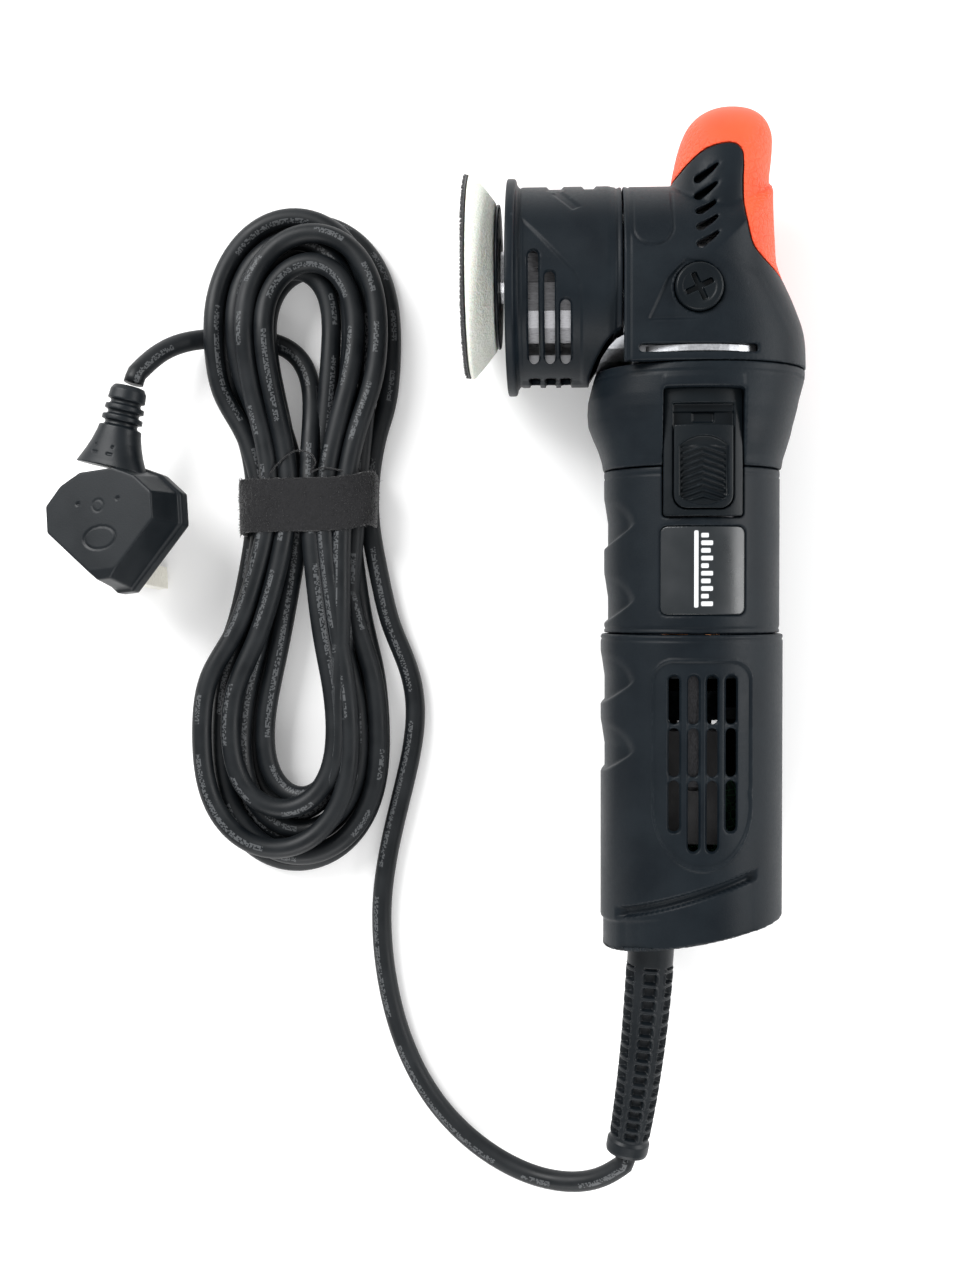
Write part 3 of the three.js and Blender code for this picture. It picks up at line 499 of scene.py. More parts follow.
def rod(axis, radius, low, high, sides=96, centre=(0, 0)):
    return turned(axis, [(0, low), (radius, low), (radius, high), (0, high)], sides, centre)


def box(x0, x1, y0, y1, z0, z1):
    return prism("z", [(x0, y0), (x1, y0), (x1, y1), (x0, y1)], z0, z1)


def slot(x0, x1, y0, y1, radius, steps=8):
    """A rectangle with round corners, as an outline."""
    outline = []
    corners = ((x1 - radius, y1 - radius, 0), (x0 + radius, y1 - radius, 90),
               (x0 + radius, y0 + radius, 180), (x1 - radius, y0 + radius, 270))
    for cx, cy, start in corners:
        for angle in np.radians(np.linspace(start, start + 90, steps)):
            outline.append((cx + radius * math.cos(angle), cy + radius * math.sin(angle)))
    return outline


def squared_circle(power, sides):
    """A unit circle's points, squarer as power grows."""
    angle = np.linspace(0, 2 * math.pi, sides, endpoint=False)
    cos, sin = np.cos(angle), np.sin(angle)
    return np.sign(cos) * np.abs(cos) ** (2 / power), np.sign(sin) * np.abs(sin) ** (2 / power)


def oval_skin(rows, power, sides=120):
    """Rings round the y axis from (y, centre x, half width, half depth), squarer as power grows."""
    wide, deep = squared_circle(power, sides)
    rings = [np.stack([cx + w * wide, np.full(sides, y), d * deep], 1) for y, cx, w, d in rows]
    return face_out(mesh_from("skin", np.concatenate(rings), grid_faces(len(rows), sides)))


def evaluated(mesh, setup):
    """The mesh that modifiers give. setup adds them and returns the objects it made."""
    scene = bpy.context.scene.collection
    base = bpy.data.objects.new("work", mesh)
    scene.objects.link(base)
    made = setup(base)
    result = bpy.data.meshes.new_from_object(base.evaluated_get(bpy.context.evaluated_depsgraph_get()))
    for obj in [base, *made]:
        bpy.data.objects.remove(obj)
    return result


def combined(mesh, operation, others):
    def setup(base):
        made = []
        for other in others:
            tool = bpy.data.objects.new("tool", other)
            bpy.context.scene.collection.objects.link(tool)
            made.append(tool)
            step = base.modifiers.new(operation, "BOOLEAN")
            step.operation, step.solver, step.object = operation, "EXACT", tool
        return made
    return evaluated(mesh, setup)


def cut(mesh, *others):
    return combined(mesh, "DIFFERENCE", others)


def join(mesh, *others):
    return combined(mesh, "UNION", others)


def meet(mesh, *others):
    return combined(mesh, "INTERSECT", others)


def soften(mesh, voxel, rounds):
    """Even quads with moulded, rounded edges."""
    def setup(base):
        remesh = base.modifiers.new("remesh", "REMESH")
        remesh.mode, remesh.voxel_size, remesh.adaptivity = "VOXEL", voxel, 0.0
        smooth = base.modifiers.new("smooth", "SMOOTH")
        smooth.factor, smooth.iterations = 0.5, rounds
        return []
    return evaluated(mesh, setup)


def mesh_arrays(mesh):
    places = np.empty(len(mesh.vertices) * 3, np.float32)
    normals = np.empty(len(mesh.vertices) * 3, np.float32)
    mesh.vertices.foreach_get("co", places)
    mesh.vertex_normals.foreach_get("vector", normals)
    return places.reshape(-1, 3).astype(float), normals.reshape(-1, 3).astype(float)


def emboss(mesh, field):
    """Sinks each point by field(x, y, z, normal) millimetres."""
    places, normals = mesh_arrays(mesh)
    depth = field(*places.T, normals)
    places -= normals * depth[:, None]
    mesh.vertices.foreach_set("co", places.astype(np.float32).ravel())
    mesh.update()
    return mesh


def write_values(mesh, name, values):
    """Stores a number at each point, for a material to read."""
    mesh.attributes.new(name, "FLOAT", "POINT").data.foreach_set("value", values.astype(np.float32))


def inside(distance, edge=0.5):
    """1 where a signed distance is well below zero and 0 above it, eased over the edge width."""
    t = np.clip(0.5 - distance / edge, 0, 1)
    return t * t * (3 - 2 * t)


def round_box(x, y, x0, x1, y0, y1, radius):
    """Signed distance to a rectangle with round corners."""
    dx = np.abs(x - (x0 + x1) / 2) - (x1 - x0) / 2 + radius
    dy = np.abs(y - (y0 + y1) / 2) - (y1 - y0) / 2 + radius
    outer = np.hypot(np.maximum(dx, 0), np.maximum(dy, 0))
    return outer + np.minimum(np.maximum(dx, dy), 0) - radius


def polygon_distance(x, y, corners):
    """Signed distance to a closed outline."""
    best = np.full(x.shape, 1e9)
    crossings = np.zeros(x.shape, bool)
    for (ax, ay), (bx, by) in zip(corners, [*corners[1:], corners[0]]):
        ex, ey = bx - ax, by - ay
        t = np.clip(((x - ax) * ex + (y - ay) * ey) / (ex * ex + ey * ey), 0, 1)
        best = np.minimum(best, np.hypot(x - ax - t * ex, y - ay - t * ey))
        if ay != by:
            crossings ^= ((ay > y) != (by > y)) & (x < ex * (y - ay) / ey + ax)
    return np.where(crossings, -best, best)


def local_piece(name, mesh, material, body, slot_name, *replaced):
    mesh.transform(LAY)
    return new_piece(name, mesh, material, body, slot_name, *replaced)


# ---- Head cover and palm grip ----

GAP = 0.3
HEAD_END = -30
HEAD_SIDE = 35
HEAD_WALL = 3.3
HEAD_FRONT = 33.5
HEAD_FACE = -24.2
NOSE_OUTLINE = [(-7, 33.5), (-5.2, 37), (-2.6, 46), (0.4, 54.5), (5, 59.3), (11.7, 61.2), (19.7, 60),
                (25, 55.5), (27.2, 48), (26.6, 38), (25.8, 26), (26.6, 13), (28.4, 4), (34.3, -9),
                (37.7, -19), (38.4, HEAD_END)]
GRIP_LINE = [(-12, 33.6), (-6.5, 34.4), (-2.6, 37.4), (2.1, 40.9), (6, 42.4), (10.4, 43.1), (13.4, 42.4),
             (15.2, 39.9), (15.4, 34), (15.2, 29.6), (15.7, 18.6), (17.1, 11.2), (19.2, 6.8), (25.6, 1.7),
             (40, -7)]
NOSE_ROWS = [(8, -10, 27.4, 26), (20, -9, 25.8, 26), (30, -8, 25.8, 26), (36, -7.2, 26, 25.5),
             (40, -6.4, 26.5, 24.6), (44.5, -5.4, 26.9, 22.9), (49.3, -3.9, 27, 20.4), (53, -2.1, 26.1, 17.4),
             (56, 0.4, 24.4, 13.9), (58.3, 3.6, 21.9, 10), (59.8, 7.2, 18.4, 6.2), (60.4, 10, 15.6, 3)]
ROUNDING_ROWS = [(HEAD_END - 1, 38.4), (-19, 37.7), (-9, 34.3), (4, 28.6), (13, 28), (40, 28)]
SIDE_SCREW = {"x": 0, "y": -6.5, "radius": 7.8}


def flat_spline(points, step):
    path = spline([(x, y, 0) for x, y in points], step)
    return [(x, y) for x, y, _ in path]


def head_outline(front, half_depth, end):
    angles = np.linspace(-math.pi / 2, math.pi / 2, 72)
    arc = [(front * math.cos(a), half_depth * math.sin(a)) for a in angles]
    return [(end, -half_depth), *arc, (end, half_depth)]


def smooth_rows(rows, step=0.8):
    """Rows of numbers eased with a curve, the first number of each giving its place."""
    table = np.array(rows, float)
    pieces = [spline(table[:, (0, column, column)], step)[:, :2] for column in range(1, table.shape[1])]
    count = min(len(piece) for piece in pieces)
    places = np.linspace(table[0, 0], table[-1, 0], count)
    columns = [np.interp(places, piece[:, 0], piece[:, 1]) for piece in pieces]
    return np.stack([places, *columns], 1)


def head_rounding(inset=0.0):
    """The head's sections round y: flat towards the shroud and well rounded towards the palm side."""
    middle, sides = -4, 160
    wide, deep = squared_circle(2.6, sides)
    rings = []
    for y, right in smooth_rows(ROUNDING_ROWS, 2.0):
        reach = np.where(wide < 0, 70, right - inset - middle)
        rings.append(np.stack([middle + reach * wide, np.full(sides, y), (HEAD_SIDE - inset) * deep], 1))
    return face_out(mesh_from("rounding", np.concatenate(rings), grid_faces(len(rings), sides)))


def head_form():
    silhouette = [(HEAD_FACE, HEAD_END), (HEAD_FACE, HEAD_FRONT), *flat_spline(NOSE_OUTLINE, 1.2)]
    main = meet(prism("z", silhouette, -50, 50),
                prism("x", head_outline(HEAD_FRONT, HEAD_SIDE, HEAD_END), -30, 50), head_rounding())
    rows = [(y, (left + right) / 2, (right - left) / 2, depth)
            for y, left, right, depth in smooth_rows(NOSE_ROWS)]
    nose = oval_skin(rows, 2.3)
    cavity = meet(prism("x", head_outline(30.2, 30.2, HEAD_END - 1), -26, 19.5), head_rounding(HEAD_WALL))
    return cut(join(main, nose), cavity, nose_room())


def nose_room():
    """The hollow inside the nose, an egg shape from (y, share of its full size)."""
    shares = ((4.2, 0.1), (8, 0.55), (16, 0.87), (28, 1), (40, 0.87), (48, 0.55), (51.8, 0.1))
    return oval_skin([(y, 10, 11.5 * share, 20 * share) for y, share in shares], 2, 48)


def grip_region(offset):
    """Everything on the palm side of the grip's edge, which is moved out by offset."""
    line = np.array(flat_spline(GRIP_LINE, 1.5))
    along = np.gradient(line, axis=0)
    along /= np.linalg.norm(along, axis=1)[:, None]
    moved = line + offset * np.stack([along[:, 1], -along[:, 0]], 1)
    outside = [(60, -7), (60, 80), (-20, 80), (-20, 33.6)]
    return prism("z", [*map(tuple, moved), *outside], -50, 50)


def teardrop(x, y):
    """A vent's outline: a round lower end and a point up at the right."""
    lower = [(x + 1.5 * math.cos(a), y + 1.4 * math.sin(a)) for a in np.radians(np.linspace(140, 325, 9))]
    return [*lower, (x + 4.2, y + 1.6), (x + 8.4, y + 6.4), (x + 2.9, y + 3.0)]


def head_relief(x, y, z, normal):
    """Shallow shapes on both cheeks: the tab, the flat round the screw, a ridge and a fold line."""
    cheek = np.clip((np.abs(normal[:, 2]) - 0.5) / 0.25, 0, 1)
    tab = np.abs(round_box(x, y, -21.4, -8.3, 7.6, 46, 6.0)) - 0.3
    well = polygon_distance(x, y, [(-9.6, -4), (-15.4, -16.3), (6, -16), (9.2, -9), (8, -2), (-4, 2)]) - 0.6
    fade = np.clip((6 - x) / 14, 0, 1)
    ridge = np.abs(x + 22.4) - 0.35
    fold = polygon_distance(x, y, [(-13, 34), (-7.5, 25), (-4, 12), (8, 4), (20, -2), (34, -24), (60, -28),
                                   (60, 60), (-13, 60)])
    seam = np.abs(z) - 0.22
    rim = np.clip((x - 24) / 4, 0, 1) + np.clip(y - HEAD_FRONT + 2, 0, 1)
    return (0.5 * inside(tab, 0.45) * cheek + 0.85 * inside(well, 0.9) * cheek * fade
            + 0.35 * inside(ridge, 0.4) + 0.16 * inside(fold, 3.0) * cheek
            + 0.3 * inside(seam, 0.4) * np.clip(rim, 0, 1))


def build_head():
    form = head_form()
    screw = (SIDE_SCREW["x"], SIDE_SCREW["y"])
    seats = [rod("z", SIDE_SCREW["radius"] + GAP, *ends, 64, screw) for ends in ((33, 50), (-50, -33))]
    bores = rod("z", 3.4, -40, 40, 32, screw)
    window = box(-19.3, 19.3, -27.2, -24.6, -50, 50)
    vents = [prism("z", teardrop(0.6, 7.6 + i * 5.9), low, high)
             for i in range(5) for low, high in ((17, 40), (-40, -17))]
    cover = cut(form, grip_region(GAP), *seats, bores, window, *vents)
    cover = emboss(soften(cover, 0.5, 5), head_relief)
    local_piece("head_shell", cover, "black", "housing", "black_nylon", "head_cover")
    grip = soften(meet(form, grip_region(0)), 0.5, 9)
    places, _ = mesh_arrays(grip)
    x, y = places[:, 0], places[:, 1]
    middle = inside(np.hypot((x - 11) / 14, (y - 60) / 22) * 10 - 8.4, 3.0) * np.clip((y - 40) / 6, 0, 1)
    write_values(grip, "grain", 1 - middle)
    local_piece("palm_overmould", grip, "orange", "housing", "orange_grip", "palm_grip")


# ---- Shroud ----

SHROUD_CORNER = [(-38, -60), (-35.2, -31.5), (-33, -27), (-30.1, -22.5), (-27.5, -19.7), (-25, -17.9),
                 (-20, -17.5), (-20, -60)]


def shroud_relief(x, y, z, normal):
    """Shallow moulded pockets at the front, a stepped panel on both cheeks and a lip before the rim."""
    radius = np.hypot(y, z)
    outer = np.clip((radius - 32.6) / 0.8, 0, 1) * (normal[:, 1] * y + normal[:, 2] * z > 0)
    arc = np.arctan2(z, y) * 34
    pocket = (inside(round_box(x, arc, -49.5, -44.5, -19, 19, 2.2), 1.0)
              + inside(round_box(x, arc, -37.5, -33.5, -17, 17, 2.0), 1.0))
    notch = polygon_distance(x, y, [(-47.6, 27.5), (-41, 20.8), (-38.6, 22), (-46, 30)])
    step = polygon_distance(x, y, [(-57.8, 17.8), (-40.3, -1.3), (-38.4, -5), (-38, -9), (-38, -60),
                                   (-58.5, -60)])
    panel = inside(step, 1.0) * np.clip((np.abs(z) - 4) / 3, 0, 1)
    groove = inside(np.abs(x + 58.8) - 0.4, 0.5) + inside(np.abs(x + 26.2) - 0.35, 0.5)
    return outer * (0.9 * pocket + 0.55 * panel + 0.4 * groove + 0.4 * inside(notch, 0.9))


def build_shroud():
    slots = []
    for x0, x1, front in ((-55.6, -52.2, 6.4), (-50.2, -46.8, -0.5), (-45, -41.6, -9.4)):
        slots.append(prism("z", slot(x0, x1, -28.5, front, 1.6), 10, 40))
        slots.append(prism("y", slot(x0, x1, -9, 9, 1.6), -40, -20))
    profile = [(16, -24.5), (33.5, -24.5), (33.5, -27), (34, -29), (34, -59.3), (34.6, -59.9), (36.4, -60.2),
               (36.9, -60.8), (36.9, -63.3), (31.6, -63.3), (31.2, -27.4), (16, -27.4)]
    corner = prism("z", SHROUD_CORNER, -40, 40)
    holes = [rod("x", 1.9, -30, -20, 24, place) for place in ((19.2, 19.2), (8, -26))]
    shell = cut(turned("x", profile, 200), corner, *holes, *slots)
    shell = emboss(soften(shell, 0.45, 4), shroud_relief)
    local_piece("shroud_shell", shell, "black", "housing", "black_nylon", "shroud")


# ---- Barrel: fan housing, motor housing and rear cover ----

DECK_X = 1.8
FINGER_HOLLOWS = (-83.5, -109, -136, -159.5)
VENT_SLOTS = ((-9.4, -184.5), (-3.1, -191), (3.1, -191), (9.4, -184.5))
VENT_FRONT = -133
VENT_HALF = 1.75
VENT_RIBS = (-149.6, -167)
RIB_HALF = 0.7
RIB_RADIUS = 30.1
BEZEL = {"half": 13.3, "back": -80.7, "front": -38.2}
BADGE = {"half": 13.85, "back": -112.8, "front": -83.8}
REAR_END = -222.2
REAR_SLANT = 11.5 / 62


def finger_relief(x, y):
    """Scoops on the plate side, soft at the front and crisp along their slanting back edge."""
    depth = np.zeros(x.shape)
    for middle in FINGER_HOLLOWS:
        back = y - middle + 8.5 - 0.75 * np.clip(x + 33, 0, 20)
        scoop = np.hypot((x + 33) / 11.5, (y - middle) / 10.5) - 1
        depth += 1.35 * inside(scoop * 9, 3.5) * inside(-back, 1.6) * np.clip((middle + 11 - y) / 9, 0, 1)
    return depth * np.clip(-x / 8 - 1.2, 0, 1)


def switch_gap():
    left, right = DECK_X - BEZEL["half"], DECK_X + BEZEL["half"]
    return prism("z", slot(left, right, BEZEL["back"], BEZEL["front"], 1.2), 20, 50)


def build_fan_housing():
    rows = [(-30.3, 2.6, 35.7, 35), (-33, 2.1, 36.1, 35.2), (-40, 0.3, 36, 34.6), (-44, -0.2, 35.7, 34.2),
            (-48, -0.6, 35, 33.5), (-52, -0.3, 33.8, 32.8), (-56, 0, 32.3, 32), (-60, 0, 31, 31),
            (-63.5, 0, 30.4, 30.4)]
    inner = turned("y", [(0, -29), (29.5, -29), (28.6, -45), (27.8, -65), (0, -65)], 120)
    shell = cut(oval_skin(rows, 2.25, 200), inner, switch_gap())
    shell = soften(shell, 0.5, 5)

    def relief(x, y, z, normal):
        outer = (np.hypot(x, z) > 29.3) * 1.0
        lip = inside(np.abs(y + 33.4) - 0.3, 0.5) * 0.3
        deck = inside(round_box(x, y, DECK_X - 13.1, DECK_X + 13.1, -90, -34.6, 1.2), 0.9) * (z > 0)
        return outer * (lip - 0.35 * deck)
    local_piece("fan_shell", emboss(shell, relief), "black", "housing", "black_nylon", "fan_housing")


def build_motor_housing():
    ring = turned("y", [(27.8, -119.2), (30.1, -119.2), (30.1, -63.8), (27.8, -63.8)], 200)
    left, right = DECK_X - BADGE["half"] - GAP, DECK_X + BADGE["half"] + GAP
    outline = slot(left, right, BADGE["back"] - GAP, BADGE["front"] + GAP, 2.4)
    badge = meet(prism("z", outline, 0, 50),
                 turned("y", [(29, -130), (50, -130), (50, -70), (29, -70)], 200))
    shell = soften(cut(ring, switch_gap(), badge), 0.5, 4)

    def relief(x, y, z, normal):
        outer = (np.hypot(x, z) > 29.0) * 1.0
        hem = 0.35 * inside(np.abs(y + 117.6) - 0.35, 0.5) + 0.25 * inside(np.abs(y + 66.2) - 0.3, 0.5)
        return outer * (finger_relief(x, y) + hem)
    local_piece("motor_shell", emboss(shell, relief), "black", "housing", "black_nylon", "motor_housing")


def build_badge():
    band = turned("y", [(29.3, -130), (30.15, -130), (30.15, -70), (29.3, -70)], 240)
    outline = slot(DECK_X - BADGE["half"], DECK_X + BADGE["half"], BADGE["back"], BADGE["front"], 2.2)
    plate = soften(meet(prism("z", outline, 0, 50), band), 0.22, 3)

    def motif(x, y):
        """A plain motif: a column of short bars of mixed widths, closed by a long one."""
        field = inside(round_box(x, y, -2.9, -1.6, -110.4, -85.2, 0.4), 0.25)
        for i in range(10):
            reach = (3.2, 1.8, 3.2, 2.4)[i % 4]
            bar = round_box(x, y, -0.6, reach, -109.9 + i * 2.5, -108.5 + i * 2.5, 0.3)
            field = np.maximum(field, inside(bar, 0.25))
        return field

    places, normals = mesh_arrays(plate)
    field = motif(places[:, 0] - DECK_X, places[:, 1]) * (normals[:, 2] > 0.3)
    write_values(plate, "motif", field)
    local_piece("badge_inlay", plate, "badge", "housing", "badge", "badge_plate")


def beyond_end(inset):
    """Everything behind the barrel's slanting rear face, which is moved forward by inset."""
    def edge(x):
        return REAR_END + inset + REAR_SLANT * x
    return prism("z", [(-60, edge(-60)), (-60, -300), (60, -300), (60, edge(60))], -50, 50)


def rear_relief(x, y, z, normal):
    """The vent panel, the slanting groove and the hems."""
    outer = (np.hypot(x, z) > 30.2) * 1.0
    faces = np.clip(np.abs(z) / 6 - 1.5, 0, 1)
    across = x - DECK_X
    outline = np.minimum(round_box(across, y, -16.3, 16.3, -176, -128, 6.5),
                         np.hypot(across / 16.3, (y + 176) / 21) * 16.3 - 16.3)
    panel = inside(outline, 0.6) * 0.4
    rim = inside(np.abs(outline) - 0.3, 0.4) * -0.8
    line = y + 205.6 - 0.31 * x
    ends = inside(np.abs(x + 3) - 22.5, 3.0) * np.clip(z / 5 - 1, 0, 1)
    band = inside(np.abs(line) - 1.7, 0.6) * ends
    below = 0.5 * inside(line, 1.2) * ends
    hem = 0.35 * inside(np.abs(y + 121.3) - 0.35, 0.5)
    step = 0.9 * inside(y + 211.6 - 0.2 * x, 1.2) * np.clip(-x / 10 - 1, 0, 1)
    return outer * (finger_relief(x, y) + faces * (panel + rim) + 2.0 * band + below + hem + step)


def rear_vents():
    """Slots through the wall, crossed by ribs, and the wider mouths that set the ribs back."""
    vents, mouths = [], []
    for x, end in VENT_SLOTS:
        left, right = DECK_X + x - VENT_HALF, DECK_X + x + VENT_HALF
        for low, high in ((20, 40), (-40, -20)):
            start = VENT_FRONT if low > 0 else VENT_RIBS[0] - RIB_HALF
            marks = [start, *(rib for rib in VENT_RIBS if rib < start - 1), end]
            for top, bottom in zip(marks[:-1], marks[1:]):
                y1 = top - (0 if top == start else RIB_HALF)
                y0 = bottom + (0 if bottom == end else RIB_HALF)
                vents.append(prism("z", slot(left, right, y0, y1, 1.5), low, high))
            outline = slot(left - 0.15, right + 0.15, end - 0.15, start + 0.15, 1.6)
            mouths.append(cut(prism("z", outline, low, high), rod("y", RIB_RADIUS, -240, -118, 200)))
    return vents, mouths


def build_rear_cover():
    outside = cut(rod("y", 31.3, -240, -119.5, 200), beyond_end(0))
    hollow = cut(rod("y", 28.5, -240, -118, 120), beyond_end(3))
    vents, mouths = rear_vents()
    cord_hole = rod("y", 8.6, -240, -200, 48, (-13.3, 0))
    dial_hole = prism("z", slot(3, 21, -240, -200, 1.0), -15.2, -8.8)
    shell = cut(outside, hollow, cord_hole, dial_hole, *vents)
    shell = soften(cut(shell, *mouths), 0.55, 4)
    local_piece("rear_shell", emboss(shell, rear_relief), "black", "housing", "black_nylon", "rear_cover")


# ---- Switch ----

BUTTON = {"back": -77.9, "front": -50.7, "half": 9.7, "travel": 6.9}


def button_outline(half, back, front, corner):
    """A rectangle with a well rounded back end."""
    rounded_back = slot(-half, half, back, front, corner)[16:]
    return [(DECK_X + x, y) for x, y in [(half, front), (-half, front), *rounded_back]]


def build_switch():
    outline = slot(DECK_X - 13, DECK_X + 13, -80.4, -38.5, 1.0)
    block = meet(prism("z", outline, 26.6, 40), rod("y", 31.9, -81, -38, 200))
    reach = BUTTON["front"] + BUTTON["travel"] + GAP
    pocket = prism("z", button_outline(10, BUTTON["back"] - 0.4, reach, 4.6), 28, 40)
    neck = box(-3, 3, -74.3, -60.8, 20, 40)
    well = prism("z", slot(DECK_X - 3.6, DECK_X + 3.6, -49.6, -46.4, 0.4), 27.2, 30)
    shelf = box(DECK_X - 9.9, DECK_X + 9.9, -46.2, -43.2, 28, 28.7)
    bezel = soften(join(cut(block, pocket, neck, well), shelf), 0.28, 4)
    local_piece("switch_frame", bezel, "smooth_black", "housing", "black_nylon", "switch_bezel")
    form = prism("z", button_outline(BUTTON["half"], BUTTON["back"], BUTTON["front"], 4.4), 28.3, 40)
    body = meet(form, rod("y", 32.8, BUTTON["back"], BUTTON["front"], 200))
    scoop = meet(rod("x", 34, DECK_X - 8.0, DECK_X + 8.0, 160, (-67.5, 63.0)),
                 rod("z", 11.4, 20, 60, 96, (DECK_X, -65.6)))
    foot = box(-2.5, 2.5, -74, -68, 26.7, 29)
    nose_notch = box(-20, 20, BUTTON["front"] - 2.9, BUTTON["front"] + 1, 20, 29.2)
    button = soften(join(cut(body, scoop, nose_notch), foot), 0.25, 3)

    def chevrons(x, y, z, normal):
        """Raised chevron ribs across the hollow, pointing towards the head."""
        across = np.abs(x - DECK_X)
        top = np.clip(normal[:, 2] * 2 - 0.6, 0, 1) * inside(across - 7.0, 0.8)
        top *= inside(np.abs(y + 66.4) - 8.8, 0.8)
        wave = np.cos((y + across * 0.36) * 2 * math.pi / 2.05)
        return -0.42 * top * np.clip(wave * 1.8, -0.5, 1)
    button = emboss(button, chevrons)
    local_piece("switch_button", button, "smooth_black", "slider", "black_nylon", "slide_button")


# ---- Side screws ----

def build_side_screws():
    place = (SIDE_SCREW["x"], SIDE_SCREW["y"])
    radius = SIDE_SCREW["radius"]
    profile = [(0, 33.3), (radius, 33.3), (radius, 36.0), (7.2, 36.6), (5.6, 36.6), (5.3, 36.35), (0, 36.35)]
    for side, way in (("left", 1), ("right", -1)):
        head = turned("z", profile, 96, place)
        shank = rod("z", 3, 25.5, 34, 32, place)
        arms = []
        for turn in (25, 115):
            arm = prism("z", slot(-4.8, 4.8, -0.95, 0.95, 0.5), 34.4, 38)
            arm.transform(Matrix.Translation((*place, 0)) @ Matrix.Rotation(math.radians(turn), 4, "Z"))
            arms.append(arm)
        cap = soften(cut(join(head, shank), *arms), 0.24, 3)
        if way < 0:
            cap.transform(Matrix.Scale(-1, 4, (0, 0, 1)))
            cap.flip_normals()
        node = f"side_screw_{side}"
        local_piece(f"side_cap_{side}", cap, "smooth_black", "housing", "black_nylon", node)


# ---- Plate ----

PLATE = {"centre": (4, 0), "radius": 34.7}
HOOK = {"pitch": 1.25, "root": 0.3, "tip": 0.26, "length": 1.15}


def build_plate():
    centre = PLATE["centre"]
    foam_profile = [(7.3, -76.4), (34.2, -76.4), (34.7, -76.1), (34.75, -75.5), (34.4, -74.9), (30, -71.1),
                    (25.3, -67.5), (24.6, -67.3), (15.3, -67.3), (15.3, -71.3), (7.3, -71.3)]
    cushion = soften(turned("x", foam_profile, 200, centre), 0.5, 3)
    cushion = emboss(cushion, lambda x, y, z, normal: RNG.normal(0, 0.035, len(x)))
    foam_piece = local_piece("foam_pad", cushion, "foam", "plate", "white_foam", "foam_cushion")
    backing_profile = [(3.3, -71), (15, -71), (15, -67), (24.4, -67), (24.6, -66.8), (24.6, -66.1),
                       (24.3, -65.9), (14, -65.9), (12.5, -65.6), (3.3, -65.6)]
    backing = soften(turned("x", backing_profile, 160, centre), 0.3, 2)
    local_piece("plate_backing", backing, "smooth_black", "plate", "black_nylon", "plate_base")
    build_hooks(centre)


def build_hooks(centre):
    """The hook face: a thin disc covered with rows of short stiff hooks."""
    profile = [(7, -77.2), (34.5, -77.2), (34.7, -77.0), (34.6, -76.75), (7, -76.75)]
    disc = turned("x", profile, 160, centre)
    bm = bmesh.new()
    bm.from_mesh(disc)
    pitch = HOOK["pitch"]
    corners = [(math.cos(a), math.sin(a)) for a in (0, 2.09, 4.19)]
    steps = int(PLATE["radius"] / pitch) + 1
    for i in range(-steps, steps + 1):
        for j in range(-steps, steps + 1):
            y = i * pitch + (0.5 * pitch if j % 2 else 0)
            z = j * pitch * 0.87
            if not 7.6 < math.hypot(y, z) < PLATE["radius"] - 0.25:
                continue
            base = Vector((-77.1, y + centre[0], z))
            lean = Vector((0, *RNG.normal(0, 0.22, 2)))
            end = base + Vector((-HOOK["length"], 0, 0)) + lean
            ring = [bm.verts.new(base + HOOK["root"] * Vector((0, c, s))) for c, s in corners]
            tip = [bm.verts.new(end + HOOK["tip"] * Vector((0, c, s))) for c, s in corners]
            for k in range(3):
                n = (k + 1) % 3
                bm.faces.new((ring[k], ring[n], tip[n], tip[k]))
            bm.faces.new(tip)
    mesh = bpy.data.meshes.new("hooks")
    bm.to_mesh(mesh)
    bm.free()
    local_piece("hook_face", mesh, "hook", "plate", "hook_pile", "hook_disc")


# ---- Boot, strap and plug ----

BOOT = ((-13.3, -221.2, 0), (-15.3, -268, -3), (-22, -303.5, -7))
BOOT_PITCH = 4.5


def build_boot():
    """A tapered rubber boot with columns of little windows in its wall."""
    start, bend, end = (np.array(p, float) for p in BOOT)
    t = np.linspace(0, 1, 420)[:, None]
    path = (1 - t) ** 2 * start + 2 * t * (1 - t) * bend + t ** 2 * end
    share = t[:, 0]
    radii = np.interp(share, [0, 0.05, 0.3, 0.6, 0.925, 0.94, 0.985, 1],
                      [8.1, 8.1, 7.9, 7.4, 6.8, 7.5, 7.5, 7.2])
    sides = 160
    angle = np.linspace(0, 2 * math.pi, sides, endpoint=False)
    along = share * path_length(path)
    columns = 6
    across = (angle * columns / (2 * math.pi)) % 1 - 0.5
    arc = across[None, :] * 2 * math.pi * radii[:, None] / columns
    row = (along[:, None] / BOOT_PITCH) % 1 - 0.5
    window = round_box(arc, row * BOOT_PITCH, -2.3, 2.3, -1.45, 1.45, 0.6)
    rim = inside(np.abs(window - 0.55) - 0.25, 0.4)
    zone = inside(np.abs(along - 44)[:, None] - 31.5, 0.8)
    depth = (1.9 * inside(window, 0.4) - 0.3 * rim) * zone
    mesh = tube("boot", path, radii[:, None] - depth, sides)
    return local_piece("boot_sleeve", mesh, "rubber", "housing", "cord_rubber", "cord_boot")


